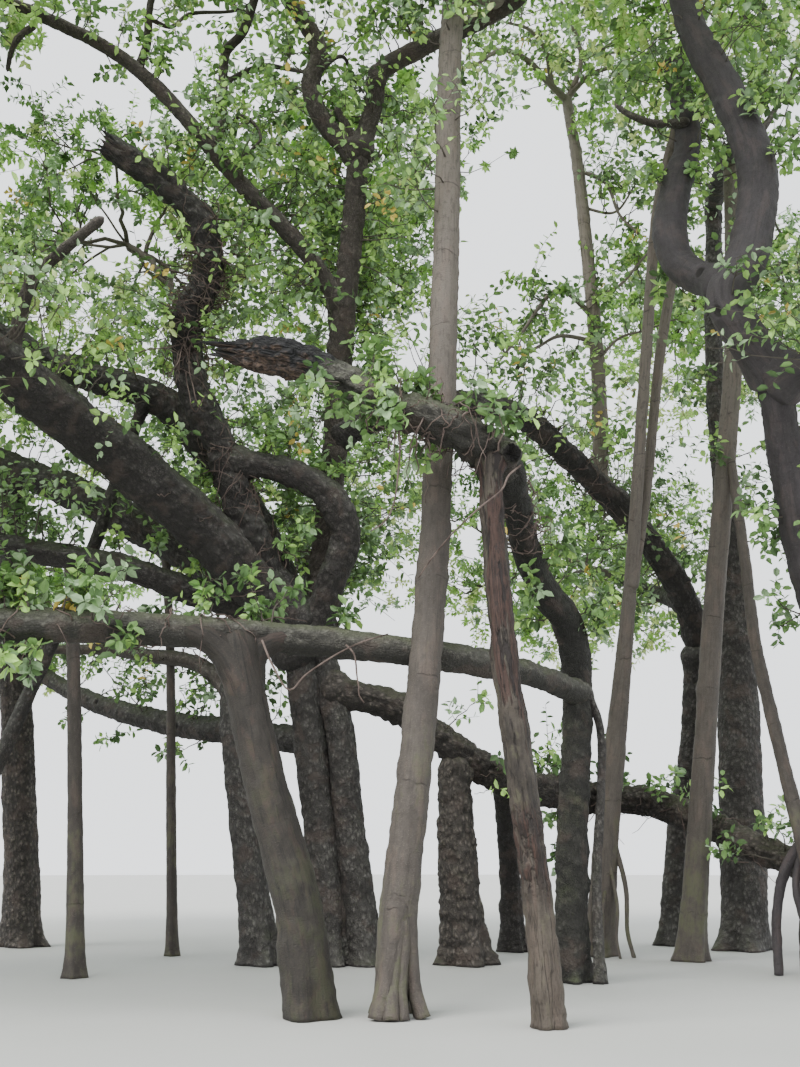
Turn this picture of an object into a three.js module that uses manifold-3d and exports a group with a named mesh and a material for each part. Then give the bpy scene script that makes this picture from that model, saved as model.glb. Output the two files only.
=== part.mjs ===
// An old banyan that stands on its own prop roots. Every limb is one tapering solid, every mass of
// foliage is one stem with its twigs and leaves, and a limb that grows from another one is cut to it.
// X runs to the right, Y away from the viewer and Z up. The origin is at ground level in the trunk.
import * as THREE from "three";
import { mergeVertices } from "three/addons/utils/BufferGeometryUtils.js";
import Module from "manifold-3d";

const wasm = await Module();
wasm.setup();

// Driving sizes. Places and diameters of limbs and masses are written in metres.
const METRE = 1000;
const CLEARANCE = 0.3; // millimetres between a limb and whatever it grows from
const LIMB_SIDES = 8;
const POLE_SIDES = 6; // for a limb that is never wider than THIN_LIMB
const THIN_LIMB = 0.4;
const TWIG_SIDES = 3;
const BOUGH_RINGS = 1.4 * METRE; // spacing of the rings along a bough
const PILLAR_RINGS = 1.8 * METRE;
const FOOT_RINGS = [0, 0.16 * METRE, 0.42 * METRE]; // heights at which a root flare is shaped
const FLARE_HEIGHT = 0.24 * METRE;
const FLARE_SPREAD = 0.42; // how far a foot spreads, as a share of its radius
const ROOT_TOES = 4; // ridges that run out round a foot

const LEAF_LENGTH = 2.4 * METRE; // each leaf stands for a whole spray
const LEAF_WIDTH = 0.56; // of its length
const LEAF_THICKNESS = 0.05; // of its length
const LEAF_BELLY = 0.42; // where a leaf is widest, from its root
const LEAF_SINK = 4; // millimetres that a leaf's root runs past the middle of its twig
const STEM_DIAMETER = 0.17 * METRE;
const STEM_TIP_DIAMETER = 0.09 * METRE;
const TWIG_DIAMETER = 0.085 * METRE;
const TWIG_TIP_DIAMETER = 0.05 * METRE;
const TWIGS_PER_METRE = 1.65; // twigs in a mass for each metre of its mean half-size
const TWIG_REACH = 0.74; // of the way from a mass's centre to its edge
const LEAF_STATIONS = [0.48, 0.72, 0.96]; // along a twig
const LEAF_TRIES = 30;
const LEAF_SHRINK = 0.022; // a leaf gets this much shorter with each try to find it room
const SPACE_MARGIN = 0.035; // kept to a neighbouring mass, as a share of a mass's size
const LIMB_MARGIN = 0.06 * METRE;
const GOLDEN_ANGLE = Math.PI * (3 - Math.sqrt(5));

// One finish for each kind of bark and for the leaves.
const finish = (color, roughness) =>
  new THREE.MeshStandardMaterial({ color, roughness, metalness: 0 });
const DARK_BARK = finish(0x4b443a, 0.9);
const PALE_BARK = finish(0x9a8573, 0.85);
const ROUGH_BARK = finish(0x6d5040, 0.95);
const CHARRED_BARK = finish(0x2a2624, 0.95);
const FOLIAGE = finish(0x4f7a2a, 0.6);

const tree = new THREE.Group();
const limbs = [];

// A point of the plant, from metres.
const at = (x, y, z) => new THREE.Vector3(x, y, z).multiplyScalar(METRE);

// A repeatable stream of numbers from 0 to 1.
function seeded(seed) {
  let state = seed >>> 0;
  return () => {
    state = (state + 0x6d2b79f5) >>> 0;
    let mixed = Math.imul(state ^ (state >>> 15), 1 | state);
    mixed = (mixed + Math.imul(mixed ^ (mixed >>> 7), 61 | mixed)) ^ mixed;
    return ((mixed ^ (mixed >>> 14)) >>> 0) / 4294967296;
  };
}

function toSolid(geometry) {
  geometry.deleteAttribute("normal");
  geometry.deleteAttribute("uv");
  const merged = mergeVertices(geometry, 1e-3);
  return new wasm.Manifold(
    new wasm.Mesh({
      numProp: 3,
      vertProperties: merged.attributes.position.array,
      triVerts: new Uint32Array(merged.index.array),
    }),
  );
}

function toGeometry(solid) {
  const mesh = solid.getMesh();
  const geometry = new THREE.BufferGeometry();
  geometry.setAttribute(
    "position",
    new THREE.BufferAttribute(new Float32Array(mesh.vertProperties), 3),
  );
  geometry.setIndex(new THREE.BufferAttribute(new Uint32Array(mesh.triVerts), 1));
  return geometry;
}

function addNode(name, solid, material) {
  const geometry = toGeometry(solid).toNonIndexed();
  geometry.computeVertexNormals();
  const mesh = new THREE.Mesh(geometry, material);
  mesh.name = name;
  tree.add(mesh);
}

// Cutting or joining can leave scraps or a sealed hollow: the biggest closed shell is the piece.
function biggestPiece(solid) {
  return solid
    .decompose()
    .reduce((best, piece) => (piece.volume() > best.volume() ? piece : best));
}

// A value read from an evenly spaced list.
function along(values, share) {
  const place = share * (values.length - 1);
  const index = Math.min(Math.floor(place), values.length - 2);
  return THREE.MathUtils.lerp(values[index], values[index + 1], place - index);
}

// Points along a curve, each with two directions across it that turn with it and never twist.
function framesOf(curve, shares) {
  let side = new THREE.Vector3(1, 0.15, 0.1);
  return shares.map((share) => {
    const point = curve.getPointAt(share);
    const tangent = curve.getTangentAt(share);
    side = side.clone().addScaledVector(tangent, -side.dot(tangent)).normalize();
    return { point, tangent, side, across: side.clone().cross(tangent) };
  });
}

// A closed tapering body round a curve: a cylinder's rings are moved to the curve's frames.
function sweep(curve, shares, sides, radiusAt, grow = 0, onGround = false) {
  const last = shares.length - 1;
  const geometry = new THREE.CylinderGeometry(1, 1, 1, sides, last);
  const frames = framesOf(curve, shares);
  const position = geometry.attributes.position;
  for (let i = 0; i < position.count; i += 1) {
    const ring = Math.round((position.getY(i) + 0.5) * last);
    const { point, tangent, side, across } = frames[ring];
    const x = position.getX(i);
    const z = position.getZ(i);
    const radius = radiusAt(shares[ring], Math.atan2(z, x)) + grow;
    const end = ring === 0 ? -grow : ring === last ? grow : 0;
    const placed = point
      .clone()
      .addScaledVector(side, x * radius)
      .addScaledVector(across, z * radius)
      .addScaledVector(tangent, end);
    if (onGround && ring === 0) placed.z = 0;
    position.setXYZ(i, placed.x, placed.y, placed.z);
  }
  return toSolid(geometry);
}

const boxesMeet = (a, b) =>
  [0, 1, 2].every((k) => a.min[k] <= b.max[k] && b.min[k] <= a.max[k]);

// A limb before it is cut to its neighbours. Its diameters are spaced evenly from foot to tip.
function shapeLimb(points, diameters, onGround) {
  const curve = new THREE.CatmullRomCurve3(points.map((p) => at(...p)));
  const length = curve.getLength();
  const footRings = onGround ? FOOT_RINGS : [0];
  const start = footRings[footRings.length - 1];
  const spacing = onGround ? PILLAR_RINGS : BOUGH_RINGS;
  const steps = Math.max(2, Math.round((length - start) / spacing));
  const evenly = Array.from({ length: steps }, (_, k) => start + ((length - start) * (k + 1)) / steps);
  const shares = [...footRings, ...evenly].map((distance) => Math.min(distance / length, 1));
  const radiusAt = (share, angle = 0) => {
    const radius = (along(diameters, share) * METRE) / 2;
    if (!onGround) return radius;
    const flare = FLARE_SPREAD * Math.exp((-share * length) / FLARE_HEIGHT);
    return radius * (1 + flare * (0.75 + 0.5 * Math.cos(ROOT_TOES * angle)));
  };
  const sides = Math.max(...diameters) > THIN_LIMB ? LIMB_SIDES : POLE_SIDES;
  const body = (grow) => sweep(curve, shares, sides, radiusAt, grow, onGround);
  return { curve, length, radiusAt, solid: body(0), grown: body(CLEARANCE) };
}

// Adds a limb, cut back wherever it enters one that was added before it.
function addLimb(name, material, shapes) {
  let solid = shapes.map((shape) => shape.solid).reduce((all, next) => all.add(next));
  const grown = shapes.map((shape) => shape.grown).reduce((all, next) => all.add(next));
  for (const earlier of limbs) {
    if (boxesMeet(solid.boundingBox(), earlier.grown.boundingBox())) {
      solid = solid.subtract(earlier.grown);
    }
  }
  solid = biggestPiece(solid);
  limbs.push({ name, shapes, grown });
  addNode(name, solid, material);
}

const bough = (name, material, diameters, ...points) =>
  addLimb(name, material, [shapeLimb(points, diameters, false)]);

const pillar = (name, material, diameters, ...points) =>
  addLimb(name, material, [shapeLimb(points, diameters, true)]);

// The trunk: three old stems that have grown into one, leaning to the left as they rise.
addLimb("trunk", DARK_BARK, [
  shapeLimb([[-0.24, 0, 0], [-0.45, 0, 1.9], [-0.7, -0.05, 3.7], [-0.9, -0.1, 5.3]], [0.54, 0.5, 0.56], true),
  shapeLimb([[0.26, 0.02, 0], [0.02, 0.02, 1.9], [-0.22, 0, 3.7], [-0.62, 0.05, 5.2]], [0.54, 0.48, 0.5], true),
  shapeLimb([[0, 0.36, 0], [-0.3, 0.3, 2.4], [-0.76, 0.26, 5.1]], [0.52, 0.5, 0.54], true),
]);

// Boughs that fork from the head of the trunk towards the left.
bough(
  "great_bough", DARK_BARK, [0.84, 0.8, 0.74, 0.54],
  [-0.82, -0.1, 4.9], [-1.56, -0.7, 5.84], [-2.39, -1.3, 6.68], [-3.35, -2.2, 7.37],
  [-4.2, -3.1, 7.87], [-5.45, -4.9, 8.46], [-7.2, -6.2, 9.2],
);
bough(
  "middle_left_bough", DARK_BARK, [0.72, 0.66, 0.44],
  [-0.8, 0.2, 5.2], [-1.4, 0.5, 5.8], [-2.29, 0.7, 6.37], [-4.16, 1.2, 7.54], [-6.97, 2, 8.96], [-8.85, 2.5, 9.83],
);
bough(
  "broken_bough", DARK_BARK, [0.58, 0.54, 0.48, 0.4],
  [-0.95, -0.3, 5.2], [-1.68, -0.9, 6.71], [-2.19, -1.2, 8.17], [-2.63, -1.4, 9.06], [-2.73, -1.6, 9.96],
  [-2.42, -1.8, 10.81], [-2.48, -2, 11.69], [-3.11, -2.2, 12.32], [-4.03, -2.5, 12.88],
);
bough(
  "lower_left_bough", DARK_BARK, [0.46, 0.42, 0.3],
  [-0.9, -0.15, 5], [-1.6, -0.28, 5.5], [-2.48, -0.5, 5.72], [-3.64, -0.9, 6.07], [-5.55, -1.3, 6.35], [-7.4, -2, 6.6],
);
bough(
  "dark_left_bough", DARK_BARK, [0.6, 0.56, 0.42],
  [-0.9, 0.15, 5.4], [-1.8, 0, 7.3], [-2.64, -0.4, 8.48], [-3.35, -0.5, 9.18], [-4.85, -0.8, 9.61], [-6.4, -1.1, 10.3],
);
bough("rising_left_bough", DARK_BARK, [0.38, 0.26], [-2.64, -0.4, 8.48], [-2.9, 0.4, 10], [-3.5, 1.1, 11.8]);

// The upright stem over the trunk, and the boughs that it carries into the top.
bough(
  "high_stem", DARK_BARK, [0.46, 0.42, 0.36],
  [-0.66, 0.1, 4.9], [-0.54, 0.1, 6.48], [-0.32, -0.4, 8.3], [-0.2, -1.1, 9.84], [0.06, -2.1, 12.29], [0.1, -2.3, 12.95],
);
bough(
  "hook_bough", DARK_BARK, [0.46, 0.48, 0.42],
  [-0.66, -0.1, 5], [-0.3, -0.6, 5.98], [-0.09, -0.8, 6.66], [-0.3, -1, 7.2], [-1, -1.15, 7.62], [-2.08, -1.16, 7.85],
);
bough(
  "high_left_bough", DARK_BARK, [0.33, 0.3, 0.24],
  [0.08, -2.25, 12.8], [-0.55, -2.5, 13.46], [-0.69, -2.6, 13.99], [-0.56, -2.7, 14.57], [-1.14, -2.9, 15.6],
  [-1.5, -3.6, 16.1],
);
bough(
  "high_right_bough", DARK_BARK, [0.33, 0.3, 0.24],
  [0.12, -2.3, 12.85], [0.36, -2.4, 13.73], [0.46, -2.6, 14.19], [1.22, -2.8, 14.59], [2.8, -3.1, 15.35],
  [3.6, -5.6, 15.6],
);
bough(
  "far_left_bough", DARK_BARK, [0.3, 0.26, 0.2],
  [-0.16, -1.4, 10.5], [-0.89, -1.7, 11.49], [-1.93, -2, 12.55], [-3.38, -2.3, 14.21], [-4.19, -2.5, 14.8],
  [-5.76, -2.9, 15.39],
);
bough("crown_back_bough", DARK_BARK, [0.34, 0.24], [-0.2, -1.1, 9.84], [-0.4, 0, 11.3], [-0.65, 1.2, 13]);

// Boughs that leave the trunk low down and towards the back.
bough(
  "low_bough", DARK_BARK, [0.44, 0.52, 0.5, 0.46, 0.4],
  [-0.4, 0.05, 4.25], [0.64, -0.1, 3.97], [1.45, 0.1, 3.46], [2.12, 0.4, 3.05], [3.16, 0.9, 2.68], [4.31, 1.95, 2.6],
  [5.27, 2.1, 2.54], [6, 1.6, 2.18], [6.65, 0.5, 1.71], [7.45, -1.6, 1.2],
);
bough(
  "back_left_bough", DARK_BARK, [0.48, 0.44, 0.28],
  [-0.5, 0.25, 3.4], [-2.52, 2.4, 3.85], [-3.96, 3.9, 4.18], [-6.13, 5.9, 4.96], [-8.6, 8.1, 6.3],
);
bough("back_bough", DARK_BARK, [0.48, 0.42, 0.3], [-0.6, 0.2, 5.1], [-0.8, 1.8, 6.6], [-1.1, 3.6, 7.3], [-1.5, 5.4, 8.6]);
bough(
  "cross_bough", DARK_BARK, [0.4, 0.44, 0.48, 0.5],
  [-0.3, -0.45, 8.5], [1.2, -0.7, 9], [2.66, -0.5, 8.96], [4.12, 1.2, 8.59], [5.47, 2.4, 7.71], [6.51, 3.2, 6.37],
  [6.7, 3.5, 5.5],
);
bough("back_right_bough", DARK_BARK, [0.38, 0.26], [6.45, 3.1, 6.4], [6.3, 4.8, 7], [5.8, 6.5, 7.8]);

// The arch: a leg that rises from the ground to an elbow, a level bough that leaves it, and the
// charred arm over the elbow, broken off short at its far end.
pillar(
  "arch_leg", DARK_BARK, [0.44, 0.42, 0.4, 0.42, 0.44],
  [3.06, -2.4, 0], [3.17, -2.4, 1.68], [3.34, -2.4, 4.1], [3.19, -2.7, 4.76], [2.8, -3.3, 5.13], [2.49, -4, 5.53],
  [2.1, -5.65, 6.2],
);
bough(
  "level_bough", DARK_BARK, [0.31, 0.34, 0.36, 0.36, 0.28],
  [3.27, -2.6, 3.85], [2.3, -4.1, 3.88], [1.22, -5.14, 3.88], [-0.37, -5.45, 4.02], [-2.2, -6.1, 4.02], [-4.47, -6.5, 4.08],
  [-6.6, -6.2, 4.9], [-8, -5.6, 5.6],
);
bough(
  "arch_bough", CHARRED_BARK, [0.44, 0.46, 0.4, 0.36],
  [2.2, -5.3, 6.16], [1.62, -6.1, 6.25], [0.8, -6.2, 6.59], [0.2, -6, 7.03], [-0.42, -5.8, 7.39], [-1.44, -5.5, 7.7],
);

// The right-hand trunk and the boughs over it.
pillar(
  "right_trunk", DARK_BARK, [0.64, 0.56, 0.5, 0.48],
  [7.7, -1.6, 0], [7.4, -1.95, 2.4], [7.05, -2.4, 4.3], [6.62, -2.8, 5.9], [6.1, -3.7, 8.3],
);
bough(
  "winding_bough", DARK_BARK, [0.56, 0.6, 0.56, 0.5, 0.4],
  [6.15, -3.7, 8.2], [5.62, -4, 8.75], [5.42, -4.1, 9.2], [5.73, -4.1, 9.73], [6.1, -4, 11.2], [5.91, -3.9, 12.48],
  [5.45, -3.6, 14.25], [5.3, -3.6, 15.2],
);
bough(
  "right_inner_bough", DARK_BARK, [0.46, 0.54, 0.44, 0.36],
  [5.5, -4, 9.4], [5.1, -3.2, 10.2], [5.03, -2.9, 10.94], [5.27, -2.6, 11.95], [5.63, -2.3, 13.12], [5.57, -1.95, 15.1],
);
bough(
  "right_outer_bough", DARK_BARK, [0.48, 0.46, 0.34],
  [6.15, -3.7, 8.1], [6.5, -4.1, 8.13], [7.63, -5.5, 7.97], [9, -6.2, 8.6],
);
bough("right_side_bough", DARK_BARK, [0.42, 0.3], [6.4, -3.15, 6.9], [7.6, -2.8, 8.6], [9.5, -1.5, 10.3]);
bough(
  "right_back_bough", DARK_BARK, [0.4, 0.38, 0.28],
  [6, -4, 10.6], [6.6, -2.4, 12.7], [7, -0.4, 14.2], [7.4, 2.2, 14.7], [8.2, 4.7, 14.8],
);

// Prop roots that have thickened into pillars, each rising from the ground to the bough it props.
pillar(
  "tall_pale_pole", PALE_BARK, [0.45, 0.38, 0.37, 0.36, 0.35, 0.33],
  [0.8, -5.95, 0], [1, -5.6, 2.62], [1.16, -5.3, 4.52], [1.31, -5, 6.82], [1.44, -4.6, 9.66], [1.61, -4.1, 14],
  [2.5, -3.1, 15.2],
);
pillar(
  "leaning_pillar", ROUGH_BARK, [0.52, 0.46, 0.42],
  [-0.14, -5.9, 0], [-0.27, -5.9, 1.03], [-0.61, -5.85, 2.14], [-0.87, -5.8, 3.1], [-1.1, -5.78, 4.12],
);
pillar(
  "peeling_pillar", ROUGH_BARK, [0.32, 0.28, 0.28, 0.3],
  [2.24, -6.6, 0], [2.15, -6.4, 1.65], [1.93, -6.2, 3.86], [1.85, -5.92, 6.15],
);
pillar(
  "slim_pole", DARK_BARK, [0.14, 0.12, 0.12],
  [3.42, -2.66, 0], [3.46, -2.5, 1.2], [3.6, -2.4, 2.5], [3.62, -2.4, 3.4], [3.34, -2.42, 4.1],
);
pillar(
  "twin_pole_left", PALE_BARK, [0.48, 0.4, 0.24, 0.2, 0.19, 0.18],
  [4.17, 1.7, 0], [4.34, 1.4, 2.04], [4.58, 1.1, 3.88], [4.82, 0.5, 6.23], [5.06, -0.7, 9.9], [5.25, -1.6, 12.4],
  [5.6, -2.2, 13.8],
);
bough(
  "twin_pole_right", PALE_BARK, [0.17, 0.18, 0.17],
  [4.83, 0.48, 6.1], [5.11, 0.3, 7.55], [5.37, -0.4, 10], [5.6, -0.9, 11.5], [5.72, -1.3, 12.7], [5.64, -2.1, 14.3],
);
pillar(
  "grey_pole", PALE_BARK, [0.42, 0.36, 0.34, 0.32, 0.3],
  [5.45, 0.7, 0], [5.88, 0.5, 3.32], [6.17, 0.3, 5.72], [6.51, 0.1, 8.11], [6.82, -0.1, 10.63], [7, -0.38, 14.15],
);
pillar(
  "broad_pillar", DARK_BARK, [0.84, 0.76, 0.6, 0.36, 0.32],
  [7.01, 3, 0], [7.14, 2.9, 2.62], [7.23, 2.7, 5.4], [7.21, 2.4, 8.32], [7.12, 2.2, 10.8], [7.4, 2.15, 14.65],
);
pillar(
  "slanting_pole", DARK_BARK, [0.26, 0.2, 0.2],
  [6.61, -2.4, 0], [6.52, -1.3, 3.14], [6.46, -0.8, 4.91], [6.55, -0.4, 6.34], [6.59, 0.04, 8.7],
);
pillar("pebbled_pillar", ROUGH_BARK, [0.66, 0.58, 0.5], [1.8, 0.1, 0], [1.72, 0.1, 1.55], [1.68, 0.18, 3.25]);
pillar("short_pillar", DARK_BARK, [0.4, 0.34, 0.3], [2.8, 2.6, 0], [2.72, 2.1, 1.4], [2.5, 0.7, 2.85]);
pillar(
  "left_stem", DARK_BARK, [0.52, 0.46, 0.46],
  [-1.32, 0, 0], [-1.67, 0, 2.16], [-1.93, 0.1, 4.08], [-1.9, 0.5, 6.05],
);
pillar(
  "edge_pillar", ROUGH_BARK, [0.68, 0.58, 0.5],
  [-6.27, 3.8, 0], [-6.43, 3.4, 2.64], [-6.56, 2.7, 5.4], [-6.7, 1.95, 8.75],
);
pillar("left_pole", PALE_BARK, [0.24, 0.21, 0.2], [-3.66, -1.9, 0], [-3.89, -1.7, 2.1], [-4.25, -1.3, 4.66], [-4.5, -1.1, 6.2]);
pillar("thin_pole", PALE_BARK, [0.19, 0.16, 0.15], [-3.04, 1.7, 0], [-3.17, 1.5, 2.55], [-3.3, 1.3, 5.14], [-3.45, 1, 7.1]);
pillar(
  "diagonal_pole", DARK_BARK, [0.26, 0.22, 0.21],
  [-6.22, -1.5, 0], [-5.35, -0.9, 3.07], [-4.29, -0.5, 6.57], [-4.05, -0.4, 7.68], [-3.6, -0.52, 9.2],
);
pillar(
  "back_pillar", DARK_BARK, [0.5, 0.46, 0.44],
  [5.96, 4.1, 0], [6.26, 4.1, 2.11], [6.54, 3.8, 3.81], [6.7, 3.5, 5.7],
);

// Masses of foliage: the bough that each grows from, and the centre and half-sizes of its own space.
const masses = [
  ["front_top_mass", "high_left_bough", [-1.6, -5.8, 17.2], [3.8, 3.6, 2.4]],
  ["front_right_mass", "high_right_bough", [4, -7.8, 15.8], [3.8, 3.5, 2.5]],
  ["far_left_mass", "far_left_bough", [-8, -4.6, 16], [3.9, 3.9, 2.6]],
  ["left_back_mass", "rising_left_bough", [-5, 2.2, 14], [4.1, 3.4, 3.2]],
  ["left_side_mass", "dark_left_bough", [-8.7, -1, 11.4], [3.4, 3.2, 2.4]],
  ["great_mass", "great_bough", [-9.4, -7.2, 10.4], [3.8, 3.7, 2.6]],
  ["middle_left_mass", "middle_left_bough", [-11.2, 3.4, 11], [3.8, 3.8, 2.8]],
  ["lower_left_mass", "lower_left_bough", [-9.6, -3.8, 6.6], [3.4, 3.9, 2.2]],
  ["back_left_mass", "back_left_bough", [-9.8, 9, 7.8], [4, 3.8, 2.8]],
  ["crown_back_mass", "crown_back_bough", [-0.7, 2.8, 15.2], [3.7, 3.6, 3.2]],
  ["back_mass", "back_bough", [-2.2, 8.2, 10.4], [4.5, 3.9, 3.4]],
  ["back_right_mass", "back_right_bough", [5, 8.8, 8.9], [4.3, 3.8, 3.1]],
  ["right_back_mass", "right_back_bough", [9, 6.6, 14.8], [3.9, 3.9, 2.9]],
  ["right_top_mass", "winding_bough", [6.3, -2.2, 17.2], [3.7, 4.4, 2.6]],
  ["right_side_mass", "right_side_bough", [11.6, -0.4, 11.2], [3.7, 3.9, 2.9]],
  ["right_front_mass", "right_outer_bough", [11, -6.6, 10.2], [3.9, 3.8, 3]],
].map(([name, from, centre, half], index) => ({
  name,
  from,
  centre: at(...centre),
  half: at(...half),
  seed: index + 1,
}));

// How far a point lies from a mass's centre, where 1 is the edge of its space.
const depthIn = (mass, point) => point.clone().sub(mass.centre).divide(mass.half).length();

// Whether a point is inside a mass's space and nearer to it than to any other mass.
function keepsToSpace(mass, point) {
  const own = depthIn(mass, point);
  return own <= 1 && masses.every((other) => other === mass || depthIn(other, point) > own + SPACE_MARGIN);
}

// Balls along every limb, to keep twigs and leaves clear of the wood.
const limbBalls = limbs.flatMap(({ name, shapes }) =>
  shapes.flatMap(({ curve, length, radiusAt }) => {
    const count = Math.ceil(length / (0.22 * METRE));
    return Array.from({ length: count + 1 }, (_, k) => ({
      name,
      point: curve.getPointAt(k / count),
      radius: radiusAt(k / count),
    }));
  }),
);

function touchesLimb(start, end, reach, ownBough) {
  const middle = start.clone().lerp(end, 0.5);
  const near = start.distanceTo(end) / 2 + reach;
  return limbBalls.some(({ name, point, radius }) => {
    if (name === ownBough) return false;
    const clear = radius + LIMB_MARGIN + reach;
    if (middle.distanceTo(point) > near + clear) return false;
    const nearest = new THREE.Line3(start, end).closestPointToPoint(point, true, new THREE.Vector3());
    return nearest.distanceTo(point) < clear;
  });
}

// A straight three-sided twig between two points.
function twigSolid(start, end, startDiameter, endDiameter) {
  const curve = new THREE.LineCurve3(start, end);
  const radiusAt = (share) => THREE.MathUtils.lerp(startDiameter, endDiameter, share) / 2;
  return sweep(curve, [0, 1], TWIG_SIDES, radiusAt);
}

// A leaf is a flat eight-faced blade, widest short of its middle, pointing along its direction.
function leafSolid(root, direction, across, length) {
  const geometry = new THREE.OctahedronGeometry(1, 0);
  const flat = direction.clone().cross(across);
  const position = geometry.attributes.position;
  for (let i = 0; i < position.count; i += 1) {
    const x = position.getX(i);
    const lengthwise = x > 0.5 ? length : x < -0.5 ? -LEAF_SINK : LEAF_BELLY * length;
    const placed = root
      .clone()
      .addScaledVector(direction, lengthwise)
      .addScaledVector(across, (position.getY(i) * LEAF_WIDTH * length) / 2)
      .addScaledVector(flat, (position.getZ(i) * LEAF_THICKNESS * length) / 2);
    position.setXYZ(i, placed.x, placed.y, placed.z);
  }
  return toSolid(geometry);
}

// The stem of a mass leaves its bough's tip in line with it and bends towards the mass's centre.
function stemOf(mass) {
  const { curve } = limbs.find(({ name }) => name === mass.from).shapes[0];
  const direction = curve.getTangentAt(1);
  const start = curve.getPointAt(1).addScaledVector(direction, CLEARANCE);
  const reach = start.distanceTo(mass.centre);
  const bend = start.clone().addScaledVector(direction, reach * 0.45);
  const end = mass.centre.clone().lerp(start, 0.05);
  return new THREE.QuadraticBezierCurve3(start, bend, end);
}

// Twigs run from the stem to places spread evenly round the mass's space.
function twigsOf(mass, stem, count) {
  const random = seeded(mass.seed);
  const twigs = [];
  for (let k = 0; k < count; k += 1) {
    const rise = 1 - (2 * (k + 0.5)) / count;
    const turn = k * GOLDEN_ANGLE + random() * 0.6;
    const ring = Math.sqrt(1 - rise * rise);
    const outward = new THREE.Vector3(ring * Math.cos(turn), ring * Math.sin(turn), rise);
    const start = stem.getPointAt(0.62 + 0.36 * random());
    let reach = TWIG_REACH * (0.92 + 0.12 * random());
    let tip = null;
    while (reach > 0.3 && tip === null) {
      const tried = outward.clone().multiplyScalar(reach).multiply(mass.half).add(mass.centre);
      if (keepsToSpace(mass, tried) && !touchesLimb(start, tried, TWIG_DIAMETER, mass.from)) tip = tried;
      reach -= 0.1;
    }
    if (tip !== null) twigs.push({ start, tip });
  }
  return twigs;
}

const meets = (a, b) => boxesMeet(a.boundingBox(), b.boundingBox()) && !a.intersect(b).isEmpty();

// One leaf that stays in the mass's space, off the limbs and clear of what is in its way, or nothing.
function tryLeaf(mass, root, twigDirection, inTheWay, random) {
  const away = root.clone().sub(mass.centre).divide(mass.half).normalize();
  for (let k = 0; k < LEAF_TRIES; k += 1) {
    const spread = new THREE.Vector3(random() - 0.5, random() - 0.5, random() - 0.5).multiplyScalar(2.6);
    const direction = twigDirection.clone().multiplyScalar(0.4).add(away).add(spread).normalize();
    const length = LEAF_LENGTH * (1 - LEAF_SHRINK * k) * (0.88 + 0.24 * random());
    const across = new THREE.Vector3(random() - 0.5, random() - 0.5, (random() - 0.5) * 0.5)
      .cross(direction)
      .normalize();
    const tip = root.clone().addScaledVector(direction, length);
    const belly = root.clone().addScaledVector(direction, LEAF_BELLY * length);
    const corners = [1, -1].map((side) => belly.clone().addScaledVector(across, (side * LEAF_WIDTH * length) / 2));
    const inSpace = [tip, ...corners].every((point) => keepsToSpace(mass, point));
    if (!inSpace || touchesLimb(root, tip, (LEAF_WIDTH * length) / 2, "")) continue;
    const leaf = leafSolid(root, direction, across, length);
    if (!inTheWay.some((solid) => meets(solid, leaf))) return leaf;
  }
  return null;
}

// The solid of one mass: stem, twigs and leaves in one body.
function massSolid(mass) {
  const stem = stemOf(mass);
  const stemRadius = (share) => THREE.MathUtils.lerp(STEM_DIAMETER, STEM_TIP_DIAMETER, share) / 2;
  const size = (mass.half.x + mass.half.y + mass.half.z) / 3 / METRE;
  const random = seeded(mass.seed + 100);
  const twigs = twigsOf(mass, stem, Math.round(TWIGS_PER_METRE * size));
  const sticks = twigs.map(({ start, tip }) => twigSolid(start, tip, TWIG_DIAMETER, TWIG_TIP_DIAMETER));
  const leaves = [];
  twigs.forEach(({ start, tip }, index) => {
    const direction = tip.clone().sub(start).normalize();
    for (const station of LEAF_STATIONS) {
      const root = start.clone().lerp(tip, station).addScaledVector(direction, -TWIG_TIP_DIAMETER / 2);
      const inTheWay = [...sticks.filter((stick, k) => k !== index), ...leaves];
      const leaf = tryLeaf(mass, root, direction, inTheWay, random);
      if (leaf !== null) leaves.push(leaf);
    }
  });
  const trunklet = sweep(stem, [0, 0.33, 0.66, 1], TWIG_SIDES, stemRadius);
  return biggestPiece([trunklet, ...sticks, ...leaves].reduce((all, next) => all.add(next)));
}

for (const mass of masses) {
  addNode(mass.name, massSolid(mass), FOLIAGE);
}

export default tree;
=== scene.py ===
# An old banyan that stands on its own prop roots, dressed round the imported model. All sizes are in
# metres, with X to the right, Y away from the viewer and Z up. The ground is level, at Z = 0.
import math

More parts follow.
